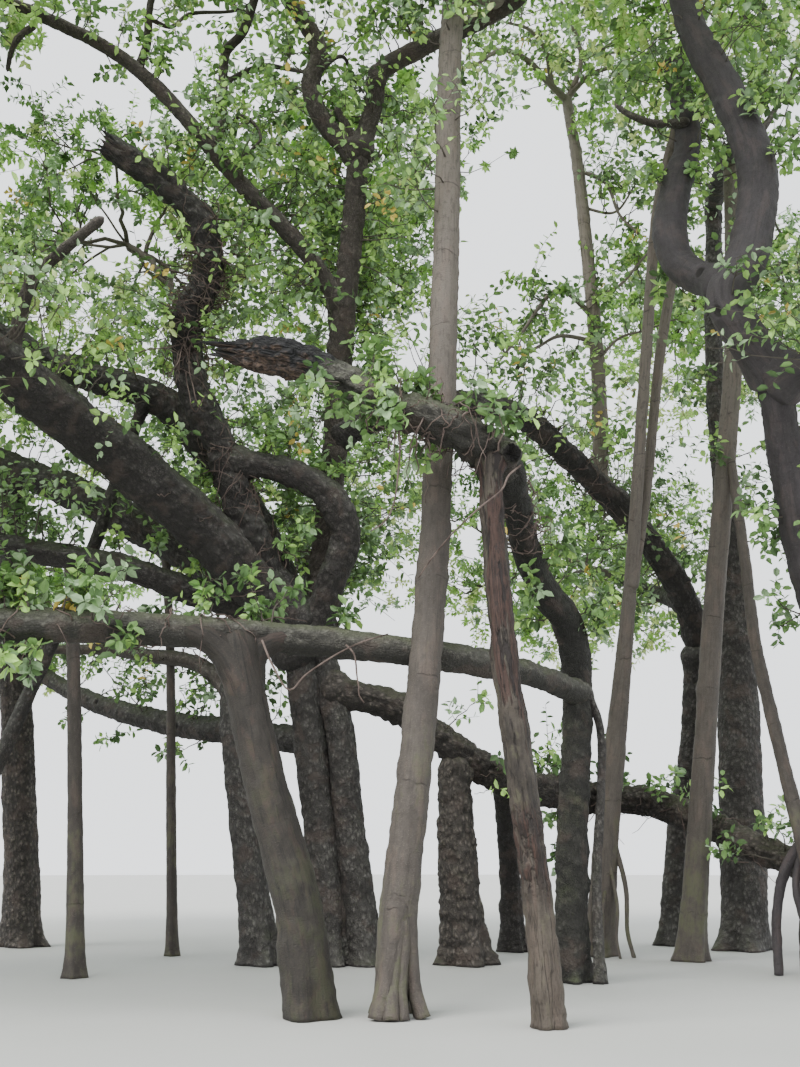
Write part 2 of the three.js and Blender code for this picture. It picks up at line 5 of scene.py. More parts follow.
import bpy
import numpy as np
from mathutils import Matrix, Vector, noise


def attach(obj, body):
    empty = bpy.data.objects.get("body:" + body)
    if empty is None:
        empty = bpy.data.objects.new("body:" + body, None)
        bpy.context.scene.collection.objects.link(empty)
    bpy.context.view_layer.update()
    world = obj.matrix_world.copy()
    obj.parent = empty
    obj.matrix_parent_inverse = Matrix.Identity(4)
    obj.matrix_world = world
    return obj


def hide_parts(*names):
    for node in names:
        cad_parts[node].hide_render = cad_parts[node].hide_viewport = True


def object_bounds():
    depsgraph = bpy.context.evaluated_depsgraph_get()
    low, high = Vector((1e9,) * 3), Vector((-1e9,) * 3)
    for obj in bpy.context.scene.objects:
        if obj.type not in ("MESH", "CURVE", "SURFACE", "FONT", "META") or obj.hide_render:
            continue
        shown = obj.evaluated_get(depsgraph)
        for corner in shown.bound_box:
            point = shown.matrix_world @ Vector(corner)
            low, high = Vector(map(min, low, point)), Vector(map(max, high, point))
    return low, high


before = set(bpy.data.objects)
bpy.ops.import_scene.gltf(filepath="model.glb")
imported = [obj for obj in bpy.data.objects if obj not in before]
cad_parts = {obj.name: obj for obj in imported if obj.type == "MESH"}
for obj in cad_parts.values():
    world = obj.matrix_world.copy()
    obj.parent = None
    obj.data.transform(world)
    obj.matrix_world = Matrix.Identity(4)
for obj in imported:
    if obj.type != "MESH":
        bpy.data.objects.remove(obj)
cad_low, cad_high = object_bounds()

# The viewer stands in front of the tree, a little right of the trunk, and looks up under the crown.
VIEWER = (0.8, -18.1, 1.55)
LOOK_UP = math.radians(16.53)
SENSOR_WIDTH = 36  # mm
FOCAL_LENGTH = 37.11  # mm
FARTHEST_SEEN = 500
lens = bpy.data.cameras.new("viewer")
lens.sensor_fit = "AUTO"
lens.sensor_width = SENSOR_WIDTH
lens.lens = FOCAL_LENGTH
lens.clip_end = FARTHEST_SEEN
camera = bpy.data.objects.new("viewer", lens)
camera.location = VIEWER
camera.rotation_euler = (math.pi / 2 + LOOK_UP, 0, 0)
bpy.context.scene.collection.objects.link(camera)
bpy.context.scene.camera = camera


# The floor is a wide plain disc, pale and matt, so that the tree's shade shows on it. It lies just under
# the flat feet of the trunks and pillars.
class Wire:
    """One value in a shader, so that shader sums can be written as sums."""

    def __init__(self, paint, socket):
        self.paint = paint
        self.socket = socket

    def __add__(self, other):
        return self.paint.math("ADD", self, other)

    __radd__ = __add__

    def __sub__(self, other):
        return self.paint.math("SUBTRACT", self, other)

    def __rsub__(self, other):
        return self.paint.math("SUBTRACT", other, self)

    def __mul__(self, other):
        return self.paint.math("MULTIPLY", self, other)

    def above(self, low, high):
        """0 below low, 1 above high, and a soft step between them."""
        sockets = {"Value": self, "From Min": low, "From Max": high}
        return self.paint.node("ShaderNodeMapRange", {"interpolation_type": "SMOOTHSTEP"}, sockets)


class Paint:
    """The shader of one material."""

    def __init__(self, name, roughness):
        self.material = bpy.data.materials.new(name)
        self.material.use_nodes = True
        self.tree = self.material.node_tree
        self.surface = self.tree.nodes["Principled BSDF"]
        self.surface.inputs["Roughness"].default_value = roughness

    def fill(self, target, value):
        """Gives a socket a plain value, or joins it to what another node puts out."""
        if isinstance(value, Wire):
            self.tree.links.new(value.socket, target)
        else:
            target.default_value = value

    def node(self, kind, settings=None, sockets=None, output=0):
        """Adds a node, fills in its settings and sockets, and gives back what it puts out."""
        made = self.tree.nodes.new(kind)
        for key, value in (settings or {}).items():
            setattr(made, key, value)
        for key, value in (sockets or {}).items():
            named = [socket for socket in made.inputs if key in (socket.identifier, socket.name)]
            self.fill(named[0], value)
        return Wire(self, made.outputs[output])

    def math(self, operation, *values):
        """Works out a number from one or two others at each point."""
        made = self.tree.nodes.new("ShaderNodeMath")
        made.operation = operation
        for socket, value in zip(made.inputs, values):
            self.fill(socket, value)
        return Wire(self, made.outputs[0])

    def blend(self, share, first, second):
        """From the first colour to the second one."""
        sockets = {"Factor_Float": share, "A_Color": first, "B_Color": second}
        return self.node("ShaderNodeMix", {"data_type": "RGBA"}, sockets, output=2)

    def place(self):
        """Where each point is on the object."""
        return self.node("ShaderNodeTexCoord", output=3)

    def last_part(self, vector):
        """The third number of a vector: how far up it reaches, or how far along a limb."""
        return self.node("ShaderNodeSeparateXYZ", {}, {"Vector": vector}, output=2)

    def stretch(self, vector, scale):
        """A vector with each of its numbers multiplied, which makes a pattern on it that much finer."""
        sockets = {"Vector": vector, "Vector_001": scale}
        return self.node("ShaderNodeVectorMath", {"operation": "MULTIPLY"}, sockets)

    def cloud(self, vector, scale, detail=4.0, rough=0.55):
        """Soft noise, from 0 to 1."""
        sockets = {"Vector": vector, "Scale": scale, "Detail": detail, "Roughness": rough}
        return self.node("ShaderNodeTexNoise", {}, sockets)

    def drawn_out(self, vector, scale, detail, rough=0.55):
        """Soft noise that is drawn out along a limb, or round it, by a scale for each way."""
        return self.cloud(self.stretch(vector, scale), 1.0, detail, rough)

    def cells(self, vector, feature="F1"):
        """How far each point is from the middle of its cell, or from the cell's edge."""
        return self.node("ShaderNodeTexVoronoi", {"feature": feature}, {"Vector": vector, "Scale": 1.0})

    def dress(self, colour, height=None, depth=0.01, strength=0.6):
        """Finishes the material with its colour and, where it has relief, with its bumps."""
        self.fill(self.surface.inputs["Base Color"], colour)
        if height is not None:
            sockets = {"Height": height, "Distance": depth, "Strength": strength}
            self.fill(self.surface.inputs["Normal"], self.node("ShaderNodeBump", {}, sockets))
        return self.material


FLOOR_RADIUS = 110
FLOOR_DROP = 0.004
bpy.ops.object.select_all(action="DESELECT")
bpy.ops.mesh.primitive_circle_add(
    vertices=128, radius=FLOOR_RADIUS, fill_type="NGON", location=(0, 0, -FLOOR_DROP),
)
bpy.ops.object.transform_apply(location=True, rotation=True, scale=True)
floor = bpy.context.object
floor.name = "floor"
pale = Paint("pale_floor", 0.95)
shading = pale.cloud(pale.place(), 0.6)
floor.data.materials.append(pale.dress(pale.blend(shading, (0.46, 0.47, 0.45, 1), (0.51, 0.51, 0.50, 1))))

# The light is an even pale sky, with one wide soft light high on the viewer's left. It comes through the
# crown in places and leaves the undersides of the boughs dark.
world = bpy.context.scene.world or bpy.data.worlds.new("sky")
bpy.context.scene.world = world
world.use_nodes = True
sky = world.node_tree.nodes["Background"]
sky.inputs["Color"].default_value = (0.94, 0.97, 1.0, 1)
sky.inputs["Strength"].default_value = 2.1
soft = bpy.data.lights.new("soft_light", "SUN")
soft.energy = 3.4
soft.angle = math.radians(40)
soft.color = (1.0, 0.97, 0.90)
lamp = bpy.data.objects.new("soft_light", soft)
lamp.rotation_euler = (math.radians(38), math.radians(-18), math.radians(-25))
bpy.context.scene.collection.objects.link(lamp)

# The trunk is three old stems that have grown into one. Old banyan bark is dark grey-brown, thick with
# pebble-like pores, pale flecks across the limb, and green algae wherever a side faces the sky.
CELL = 0.042  # spacing of the mesh round a limb
SUNK_IN = 0.3  # how far a limb's start is sunk in what it grows from, for its width
FEWEST_SIDES = 12
MOST_SIDES = 56
SHORTEST_STEP = 0.03
LONGEST_STEP = 0.06
KNOT_RIM = 0.34  # the height of a knot's rim and the depth of its middle, for its size
KNOT_PIT = 0.2
HOLE_PIT = 0.5
FLARE_SPREAD = 0.42
FLARE_HEIGHT = 0.24
FOOT_HEIGHT = 0.5  # below this a foot's outline turns level with the ground
COLLAR_REACH = 0.6  # how near another limb has to be for a collar
COLLAR_SWELL = 0.42
FLOOR_CLEARANCE = 0.004
limbs = {}


def even_path(points, step):
    """A rounded line through points, as evenly spaced places, and its length."""
    through = [np.array(point, float) for point in points]
    through = [2 * through[0] - through[1], *through, 2 * through[-1] - through[-2]]
    share = np.linspace(0, 1, 41)[:, None]
    dense = []
    for before, start, end, after in zip(through, through[1:], through[2:], through[3:]):
        gaps = [np.linalg.norm(b - a) ** 0.5 for a, b in ((before, start), (start, end), (end, after))]
        leave = (start - before) / gaps[0] - (end - before) / (gaps[0] + gaps[1]) + (end - start) / gaps[1]
        arrive = (end - start) / gaps[1] - (after - start) / (gaps[1] + gaps[2]) + (after - end) / gaps[2]
        leave, arrive = leave * gaps[1], arrive * gaps[1]
        curve = (2 * start - 2 * end + leave + arrive) * share**3
        curve = curve + (3 * end - 3 * start - 2 * leave - arrive) * share**2 + leave * share + start
        dense.append(curve if not dense else curve[1:])
    dense = np.concatenate(dense)
    travelled = np.concatenate([[0], np.cumsum(np.linalg.norm(np.diff(dense, axis=0), axis=1))])
    length = travelled[-1]
    places = np.linspace(0, length, max(3, round(length / step) + 1))
    return np.stack([np.interp(places, travelled, dense[:, k]) for k in range(3)], axis=1), length


def unit(vectors):
    """The same directions, each at length 1."""
    return vectors / np.linalg.norm(vectors, axis=-1, keepdims=True)


def lumpy(places, scale, octaves, shift):
    """Soft noise from about -1 to 1 at each place."""
    moved = (places * scale + shift).reshape(-1, 3)
    return np.array([noise.fractal(place, 0.8, 2.1, octaves) for place in moved]).reshape(places.shape[:-1])


def new_mesh(name, points, groups, smooth=True):
    """A mesh from points and arrays of faces."""
    corners = np.concatenate([group.reshape(-1) for group in groups]).astype(np.int32)
    sizes = np.concatenate([np.full(len(group), group.shape[1]) for group in groups])
    mesh = bpy.data.meshes.new(name)
    mesh.vertices.add(len(points))
    mesh.vertices.foreach_set("co", points.astype(np.float32).ravel())
    mesh.loops.add(len(corners))
    mesh.loops.foreach_set("vertex_index", corners)
    mesh.polygons.add(len(sizes))
    mesh.polygons.foreach_set("loop_start", np.concatenate([[0], np.cumsum(sizes)[:-1]]).astype(np.int32))
    mesh.polygons.foreach_set("use_smooth", np.full(len(sizes), smooth))
    mesh.update(calc_edges=True)
    return mesh


def straightened(angle, wide, along):
    """Places on a limb as if it were straight and stood upright."""
    return np.stack(np.broadcast_arrays(np.cos(angle) * wide, np.sin(angle) * wide, along), axis=2)


def limb_frame(points, step):
    """A limb's middle line and length, and the directions along it, aside and across at each ring."""
    axis, length = even_path(points, step)
    tangent = unit(np.gradient(axis, axis=0))
    side = np.zeros_like(axis)
    held = np.array([1, 0.15, 0.1])
    for ring, onward in enumerate(tangent):
        held = unit(held - onward * held.dot(onward))
        side[ring] = held
    return axis, length, tangent, side, np.cross(side, tangent)


def raise_knots(grown, spots, angle, along, radius):
    """Raises a knot at each spot and sinks its middle. Gives back how hollow each point is."""
    hollow = np.zeros_like(grown)
    for share, turn, size, pit in spots:
        wide = size * np.interp(share, along / along[-1], radius)
        apart = np.angle(np.exp(1j * (angle - turn)))[None, :] * radius[:, None]
        near = (apart**2 + (along[:, None] - share * along[-1]) ** 2) / wide**2
        grown += wide * (KNOT_RIM * np.exp(-near * 1.5) - pit * np.exp(-near * 8))
        hollow = np.maximum(hollow, np.exp(-near * 7) * (2 * pit - 0.1))
    return hollow


def spread_foot(grown, angle, along, toes, spread, seed):
    """Spreads a limb's foot into toes, widest where it meets the soil."""
    toe = np.cos(toes * angle + 0.9 * np.sin(2 * angle + seed))[None, :]
    flare = spread * np.exp(-along / FLARE_HEIGHT)[:, None] * (0.72 + 0.5 * toe)
    return grown * (1 + flare + 0.1 * np.exp(-along / 0.9)[:, None] * (0.4 + toe))


def grow_collars(name, grown, axis, outward, radius, joining):
    """Swells a limb's ends where they come near another limb, as the bark of both has grown together."""
    for other_name, (other, reach) in limbs.items():
        low = (other - reach[:, None]).min(axis=0) - COLLAR_REACH
        high = (other + reach[:, None]).max(axis=0) + COLLAR_REACH
        close = np.all((axis > low) & (axis < high), axis=1)
        if other_name == name or not close.any():
            continue
        surface = (axis[close][:, None] + outward[close] * grown[close][:, :, None]).reshape(-1, 1, 3)
        gap = (np.linalg.norm(surface - other[None], axis=2) - reach[None]).min(axis=1)
        gap = np.maximum(gap.reshape(-1, grown.shape[1]), 0)
        collar = np.clip(1 - gap / (radius[close][:, None] * 1.1 + 0.07), 0, 1) ** 2
        grown[close] += collar * (radius * joining)[close][:, None] * COLLAR_SWELL


def round_off(grown, from_end, width):
    """Draws a limb in towards its end, so that it closes in a round tip."""
    left = np.clip(from_end / width, 0, 1)
    return grown * np.sqrt(np.clip(1 - (1 - left) ** 2, 0.05, 1))[:, None]


def tube_faces(rings, sides):
    """The faces of a closed tube: four-sided ones round it, and three-sided ones over its ends."""
    index = np.arange(rings * sides).reshape(rings, sides)
    turned = np.roll(index, -1, axis=1)
    quads = np.stack([index[:-1], index[1:], turned[1:], turned[:-1]], axis=2).reshape(-1, 4)
    start, end = rings * sides, rings * sides + 1
    caps = np.concatenate([
        np.stack([index[0], turned[0], np.full(sides, start)], axis=1),
        np.stack([turned[-1], index[-1], np.full(sides, end)], axis=1),
    ])
    return quads, caps


def limb_body(name, diameters, points, seed, toes=4, spread=FLARE_SPREAD, flute=0.05, swell=0.08,
              lumps=0.016, knots=0.3, holes=(), ragged=0.0, char=None, collars=1.0):
    """One limb as points, faces and what its bark needs to know at each point.

    The diameters are spread evenly along it. A path that starts at Z = 0 has a foot there, which spreads
    in toes, and one that ends at Z = 0 runs into the soil. Flute, swell and lumps are how deep its furrows,
    thick places and small bumps are, and knots come so many to a metre. Each hole has its share of the
    length, the way it faces and its size. A ragged limb has a torn end. Char is the share of the length
    from which it is burnt, and collars how much it swells where it meets another limb.
    """
    foot, in_soil = points[0][2] == 0, points[-1][2] == 0
    if not foot:
        first = np.array(points[0], float)
        points = (first + unit(first - np.array(points[1])) * diameters[0] * SUNK_IN, *points[1:])
    widest = max(diameters) / 2
    sides = int(np.clip(round(2 * math.pi * widest / CELL), FEWEST_SIDES, MOST_SIDES))
    step = max(SHORTEST_STEP, min(LONGEST_STEP, 2 * math.pi * widest / sides))
    axis, length, tangent, side, across = limb_frame(points, step)
    rings = len(axis)
    along = np.linspace(0, length, rings)
    radius = np.interp(along / length * (len(diameters) - 1), range(len(diameters)), diameters) / 2
    angle = np.arange(sides) * 2 * math.pi / sides
    outward = np.cos(angle)[None, :, None] * side[:, None] + np.sin(angle)[None, :, None] * across[:, None]
    bark = straightened(angle, radius[:, None], along[:, None])
    turning = straightened(angle, 1.7, along[:, None] * 0.4)
    swollen = swell * lumpy(bark, 1.5, 2, seed * 3.1)
    fluted = flute * lumpy(turning, 1.0, 3, seed * 5.3)
    grown = radius[:, None] * (1 + swollen + fluted)
    grown = grown + lumps * lumpy(bark, 8, 3, seed * 7.7) * min(1.0, widest / 0.2)
    stream = np.random.default_rng(seed)
    spots = [
        (stream.uniform(0.12, 0.92), stream.uniform(0, 2 * math.pi), stream.uniform(0.45, 0.85), KNOT_PIT)
        for _ in range(round(knots * length))
    ]
    for share, facing, size in holes:
        towards = outward[round(share * (rings - 1))] @ np.array(facing)
        spots.append((share, angle[np.argmax(towards)], size, HOLE_PIT))
    hollow = raise_knots(grown, spots, angle, along, radius)
    if foot:
        grown = spread_foot(grown, angle, along, toes, spread, seed)
    from_end = np.minimum(np.full(rings, np.inf) if foot else along, length - along)
    joining = np.clip(1.6 - from_end / (radius * 1.6 + 0.25), 0, 1) * collars
    grow_collars(name, grown, axis, outward, radius, joining)
    burnt = np.zeros_like(grown)
    if char is not None:
        burnt = np.clip((along[:, None] / length - char) / 0.18 + 0.35 * lumpy(bark, 4, 2, seed), 0, 1)
    lengthwise = np.zeros_like(grown)
    if ragged:
        torn = 0.5 + 0.9 * lumpy(turning[-1:], 2.3, 3, seed * 2.9)
        late = np.clip((along - length + 1.4 * ragged) / (1.4 * ragged), 0, 1)[:, None]
        lengthwise = late**2 * (torn - 0.5) * ragged
        grown = grown * (1 - 0.3 * late**3)
        # The torn end counts as hollow, so the bark paints it near black as painted shade, under any char.
        hollow[-1] = 1
    elif not in_soil:
        grown = round_off(grown, length - along, radius[-1] * 1.5)
    if not foot:
        grown = round_off(grown, along, radius[0])
    shift = outward * grown[:, :, None]
    if foot:
        shift[:, :, 2] *= np.clip(along / FOOT_HEIGHT, 0, 1)[:, None] ** 1.2
    skin = axis[:, None] + shift + tangent[:, None] * lengthwise[:, :, None]
    if foot:
        skin[0, :, 2] = 0
    skin[1:, :, 2] = np.maximum(skin[1:, :, 2], FLOOR_CLEARANCE)
    tip = axis[-1] - tangent[-1] * (radius[-1] * 0.9 if ragged else 0)
    middles = np.array([axis[0] * (1, 1, 0 if foot else 1), tip])
    quads, caps = tube_faces(rings, sides)
    marks = np.concatenate([bark.reshape(-1, 3), [[0, 0, 0], [0, 0, length]]]) + seed * 2.37
    dark = np.concatenate([hollow.reshape(-1), [0, 1 if ragged else 0]])
    scorch = np.concatenate([burnt.reshape(-1), [0, burnt[-1].max()]])
    known_axis, known_radius = limbs.get(name, (np.empty((0, 3)), np.empty(0)))
    limbs[name] = (np.concatenate([known_axis, axis]), np.concatenate([known_radius, radius]))
    return np.concatenate([skin.reshape(-1, 3), middles]), quads, caps, marks, dark, scorch


def set_out(name, mesh, replaced):
    """Puts a finished mesh in the scene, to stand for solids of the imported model."""
    piece = bpy.data.objects.new(name, mesh)
    bpy.context.scene.collection.objects.link(piece)
    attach(piece, "root")
    if replaced:
        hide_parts(*replaced)


def limb_piece(name, bodies, material, tone, replaced):
    """A shown limb, from one body or several."""
    points, _, _, marks, hollow, char = (np.concatenate(column) for column in zip(*bodies))
    offsets = np.cumsum([0] + [len(body[0]) for body in bodies])
    faces = [
        np.concatenate([body[column] + offset for body, offset in zip(bodies, offsets)])
        for column in (1, 2)
    ]
    mesh = new_mesh(name + "_bark", points, faces)
    known = {"bark": marks, "hollow": hollow, "char": char, "tone": np.full(len(points), tone)}
    for label, values in known.items():
        kind, field = ("FLOAT_VECTOR", "vector") if label == "bark" else ("FLOAT", "value")
        mark = mesh.attributes.new(label, kind, "POINT")
        mark.data.foreach_set(field, values.astype(np.float32).ravel())
    mesh.materials.append(material)
    set_out(name + "_bark", mesh, replaced)


def limb(name, material, diameters, *points, slot="dark_bark", tone=0.5, roots=(), stub=(), **shape):
    """A limb from its diameters and the points of its middle line, and what goes with it.

    Roots are the roots or arms that splay from it, and stub is the hollow stub of a lost branch, each with
    diameters and points of its own. Tone is how light the bark is. The seed comes from the name.
    """
    seed = sum(ord(letter) * (place + 3) for place, letter in enumerate(name)) % 97 + 1
    bodies = [limb_body(name, diameters, points, seed, **shape)]
    for place, (widths, *path) in enumerate(roots):
        bodies.append(limb_body(
            name + "_roots", widths, path, seed + place + 1, swell=0.1, flute=0.08, knots=0, collars=0.25,
        ))
    if stub:
        bodies.append(limb_body(
            name + "_stub", *stub, seed + 9, swell=0.1, knots=0, collars=0.3, ragged=0.1,
        ))
    limb_piece(name, bodies, material, tone, (name,))


def shade(colour, share):
    """A colour made darker or lighter."""
    return tuple(min(1.0, part * share) for part in colour[:3]) + (1,)


def bark_marks(paint, *names):
    """What the mesh tells its bark at each point, by name."""
    return [
        paint.node("ShaderNodeAttribute", {"attribute_name": name}, output=1 if name == "bark" else 2)
        for name in names
    ]


# Painted shade: near black for the insides of knot holes and torn ends.
PAINTED_HOLLOW_SHADE = (0.010, 0.008, 0.007, 1)
RUST_PATCH = (0.085, 0.060, 0.050, 1)
COAL = ((0.003, 0.003, 0.004, 1), (0.034, 0.033, 0.037, 1))
BARED_WOOD = ((0.030, 0.018, 0.013, 1), (0.135, 0.085, 0.060, 1))


def old_bark(name, dark, light, fleck_and_highlight, algae, patchy=0.5, knobs=0.6, burnt=False):
    """Thick pebbled bark, with algae on what faces the sky and charring where the limb was burnt."""
    paint = Paint(name, 0.86)
    bark, tone, hollow, char = bark_marks(paint, "bark", "tone", "hollow", "char")
    facing_up = paint.last_part(paint.node("ShaderNodeNewGeometry", output=1))
    broad = paint.cloud(bark, 1.7, 3.0)
    middle = paint.cloud(bark, 6.5, 3.0)
    grain = paint.drawn_out(bark, (30, 30, 10), 5.0, 0.65)
    even, push = paint.stretch(bark, (15, 15, 11)), paint.stretch(grain, (1.1, 1.1, 1.1))
    pushed = paint.node("ShaderNodeVectorMath", {"operation": "ADD"}, {"Vector": even, "Vector_001": push})
    knob = paint.cells(pushed)
    pebble = paint.cells(paint.stretch(bark, (48, 48, 36)))
    base = paint.blend(broad * 0.6 + middle * 0.5 + grain * 0.3 + tone * 0.5 - 0.5, dark, light)
    # Raised pebbles are paler bark with a painted highlight, and the gaps between them painted shade.
    raised = (1.0 - knob.above(0.10, 0.42)) * middle.above(0.35, 0.58)
    base = paint.blend(raised * knobs * 1.15, base, shade(light, 1.6))
    base = paint.blend(knob.above(0.36, 0.62) * knobs, base, shade(dark, 0.3))
    base = paint.blend(pebble.above(0.28, 0.62) * 0.55, base, shade(dark, 0.5))
    tops = (1.0 - pebble.above(0.12, 0.36)) * broad.above(0.38, 0.60) * middle.above(0.38, 0.54)
    base = paint.blend(tops * 0.5, base, fleck_and_highlight)
    # Painted highlight: the side that faces up is lightened towards the fleck colour, most on pebbles.
    lit = facing_up.above(-0.35, 0.55) * (grain * 1.4 + middle * 0.6 - 0.4)
    base = paint.blend(lit * (1.45 - knob.above(0.1, 0.5) * 0.95) * 0.95, base, fleck_and_highlight)
    # Painted shade: the side that faces down is darkened.
    base = paint.blend((0.0 - facing_up).above(-0.15, 0.65) * 0.65, base, shade(dark, 0.6))
    base = paint.blend((0.0 - tone).above(0.0, 1.0) * 0.7, base, shade(dark, 0.25))
    base = paint.blend(paint.cloud(bark, 3.1, 2.0).above(0.52, 0.66) * 0.4, base, RUST_PATCH)
    mossy = facing_up * 0.55 + broad * 1.0 + grain * 0.35
    base = paint.blend(mossy.above(0.92 - 0.3 * patchy, 1.42 - 0.3 * patchy) * 0.75, base, algae)
    # Painted shade: knot holes and torn ends are painted near black.
    base = paint.blend(hollow.above(0.1, 0.7), base, PAINTED_HOLLOW_SHADE)
    height = (1.0 - knob.above(0.05, 0.7)) * 1.3 * knobs + (1.0 - pebble) * 0.5 + grain * 0.7 + middle * 0.5
    if burnt:
        splits = paint.cells(paint.stretch(bark, (17, 17, 5.5)), "DISTANCE_TO_EDGE")
        coal = paint.blend(splits.above(0.02, 0.3) * grain, *COAL)
        bared = (middle * 1.2 - facing_up * 0.5).above(0.62, 0.95)
        coal = paint.blend(bared * 0.8, coal, paint.blend(grain.above(0.4, 0.6), *BARED_WOOD))
        base = paint.blend(char.above(0.15, 0.75), base, coal)
        height = height + splits.above(0.0, 0.3) * char * 1.6 + middle * char * 3.0
    return paint.dress(base, height, 0.032, 1.0)


dark_bark = old_bark(
    "dark_bark", (0.027, 0.023, 0.021, 1), (0.094, 0.082, 0.075, 1), (0.185, 0.18, 0.165, 1),
    (0.054, 0.066, 0.030, 1),
)
TRUNK_STEMS = (
    ((0.54, 0.5, 0.56), ((-0.24, 0, 0), (-0.45, 0, 1.9), (-0.7, -0.05, 3.7), (-0.9, -0.1, 5.3))),
    ((0.54, 0.48, 0.5), ((0.26, 0.02, 0), (0.02, 0.02, 1.9), (-0.22, 0, 3.7), (-0.62, 0.05, 5.2))),
    ((0.52, 0.5, 0.54), ((0, 0.36, 0), (-0.3, 0.3, 2.4), (-0.76, 0.26, 5.1))),
)
stems = [
    limb_body("trunk", diameters, points, 11 + place, flute=0.1, swell=0.1, knots=0.4)
    for place, (diameters, points) in enumerate(TRUNK_STEMS)
]
limb_piece("trunk", stems, dark_bark, 0.3, ("trunk",))

# The boughs that fork from the head of the trunk to the left are the oldest and the most gnarled. One
# of them was snapped off high up, and its torn end is hollow and blackened.
OLD = {"flute": 0.1, "swell": 0.12, "lumps": 0.026, "knots": 0.6}
limb(
    "great_bough", dark_bark, (0.84, 0.8, 0.74, 0.54),
    (-0.82, -0.1, 4.9), (-1.56, -0.7, 5.84), (-2.39, -1.3, 6.68), (-3.35, -2.2, 7.37), (-4.2, -3.1, 7.87),
    (-5.45, -4.9, 8.46), (-7.2, -6.2, 9.2),
    tone=0.55, **OLD,
)
limb(
    "middle_left_bough", dark_bark, (0.72, 0.66, 0.44),
    (-0.8, 0.2, 5.2), (-1.4, 0.5, 5.8), (-2.29, 0.7, 6.37), (-4.16, 1.2, 7.54), (-6.97, 2, 8.96),
    (-8.85, 2.5, 9.83),
    tone=0.85, **OLD,
)
limb(
    "broken_bough", dark_bark, (0.58, 0.54, 0.48, 0.4),
    (-0.95, -0.3, 5.2), (-1.68, -0.9, 6.71), (-2.19, -1.2, 8.17), (-2.63, -1.4, 9.06),
    (-2.73, -1.6, 9.96), (-2.42, -1.8, 10.81), (-2.48, -2, 11.69), (-3.11, -2.2, 12.32),
    (-4.03, -2.5, 12.88),
    tone=0.2, flute=0.16, swell=0.18, lumps=0.034, knots=1.4, ragged=0.45, char=0.86,
)
limb(
    "lower_left_bough", dark_bark, (0.46, 0.42, 0.3),
    (-0.9, -0.15, 5), (-1.6, -0.28, 5.5), (-2.48, -0.5, 5.72), (-3.64, -0.9, 6.07), (-5.55, -1.3, 6.35),
    (-7.4, -2, 6.6),
    tone=0.8, **OLD,
)
limb(
    "dark_left_bough", dark_bark, (0.6, 0.56, 0.42),
    (-0.9, 0.15, 5.4), (-1.8, 0, 7.3), (-2.64, -0.4, 8.48), (-3.35, -0.5, 9.18), (-4.85, -0.8, 9.61),
    (-6.4, -1.1, 10.3),
    **OLD,
)
limb(
    "rising_left_bough", dark_bark, (0.38, 0.26),
    (-2.64, -0.4, 8.48), (-2.9, 0.4, 10), (-3.5, 1.1, 11.8),
    tone=0.3,
)

# The upright stem stands on the head of the trunk and carries the boughs of the top, whose bark is paler
# and thinner. A stout bough beside it rises, hooks back to the left and grows into the broken one.
high_bark = old_bark(
    "high_bark", (0.050, 0.041, 0.035, 1), (0.165, 0.138, 0.118, 1), (0.25, 0.225, 0.20, 1),
    (0.066, 0.074, 0.040, 1), patchy=0.2, knobs=0.4,
)
limb(
    "high_stem", high_bark, (0.46, 0.42, 0.36),
    (-0.66, 0.1, 4.9), (-0.54, 0.1, 6.48), (-0.32, -0.4, 8.3), (-0.2, -1.1, 9.84), (0.06, -2.1, 12.29),
    (0.1, -2.3, 12.95),
    tone=0.85,
)
limb(
    "hook_bough", dark_bark, (0.46, 0.48, 0.42),
    (-0.66, -0.1, 5), (-0.3, -0.6, 5.98), (-0.09, -0.8, 6.66), (-0.3, -1, 7.2), (-1, -1.15, 7.62),
    (-2.08, -1.16, 7.85),
    tone=0.95, **OLD,
)
limb(
    "high_left_bough", high_bark, (0.33, 0.3, 0.24),
    (0.08, -2.25, 12.8), (-0.55, -2.5, 13.46), (-0.69, -2.6, 13.99), (-0.56, -2.7, 14.57),
    (-1.14, -2.9, 15.6), (-1.5, -3.6, 16.1),
    tone=0.6,
)
limb(
    "high_right_bough", high_bark, (0.33, 0.3, 0.24),
    (0.12, -2.3, 12.85), (0.36, -2.4, 13.73), (0.46, -2.6, 14.19), (1.22, -2.8, 14.59),
    (2.8, -3.1, 15.35), (3.6, -5.6, 15.6),
    tone=0.6,
)
limb(
    "far_left_bough", high_bark, (0.3, 0.26, 0.2),
    (-0.16, -1.4, 10.5), (-0.89, -1.7, 11.49), (-1.93, -2, 12.55), (-3.38, -2.3, 14.21),
    (-4.19, -2.5, 14.8), (-5.76, -2.9, 15.39),
)
limb(
    "crown_back_bough", high_bark, (0.34, 0.24),
    (-0.2, -1.1, 9.84), (-0.4, 0, 11.3), (-0.65, 1.2, 13),
    tone=0.4,
)

# Long boughs leave the trunk low down. One sags to the right until it meets the right-hand trunk, two
# run away to the back, and one spans the gap in the crown and comes down on a pillar of its own. Above
# that pillar a shorter one leaves it for the back.
pebbled_bark = old_bark(
    "pebbled_bark", (0.034, 0.028, 0.024, 1), (0.125, 0.105, 0.088, 1), (0.20, 0.175, 0.155, 1),
    (0.055, 0.062, 0.03, 1), patchy=0.3, knobs=0.9,
)
limb(
    "low_bough", pebbled_bark, (0.44, 0.52, 0.5, 0.46, 0.4),
    (-0.4, 0.05, 4.25), (0.64, -0.1, 3.97), (1.45, 0.1, 3.46), (2.12, 0.4, 3.05), (3.16, 0.9, 2.68),
    (4.31, 1.95, 2.6), (5.27, 2.1, 2.54), (6, 1.6, 2.18), (6.65, 0.5, 1.71), (7.45, -1.6, 1.2),
    tone=0.1, flute=0.1, swell=0.18, lumps=0.045, knots=1.6,
)
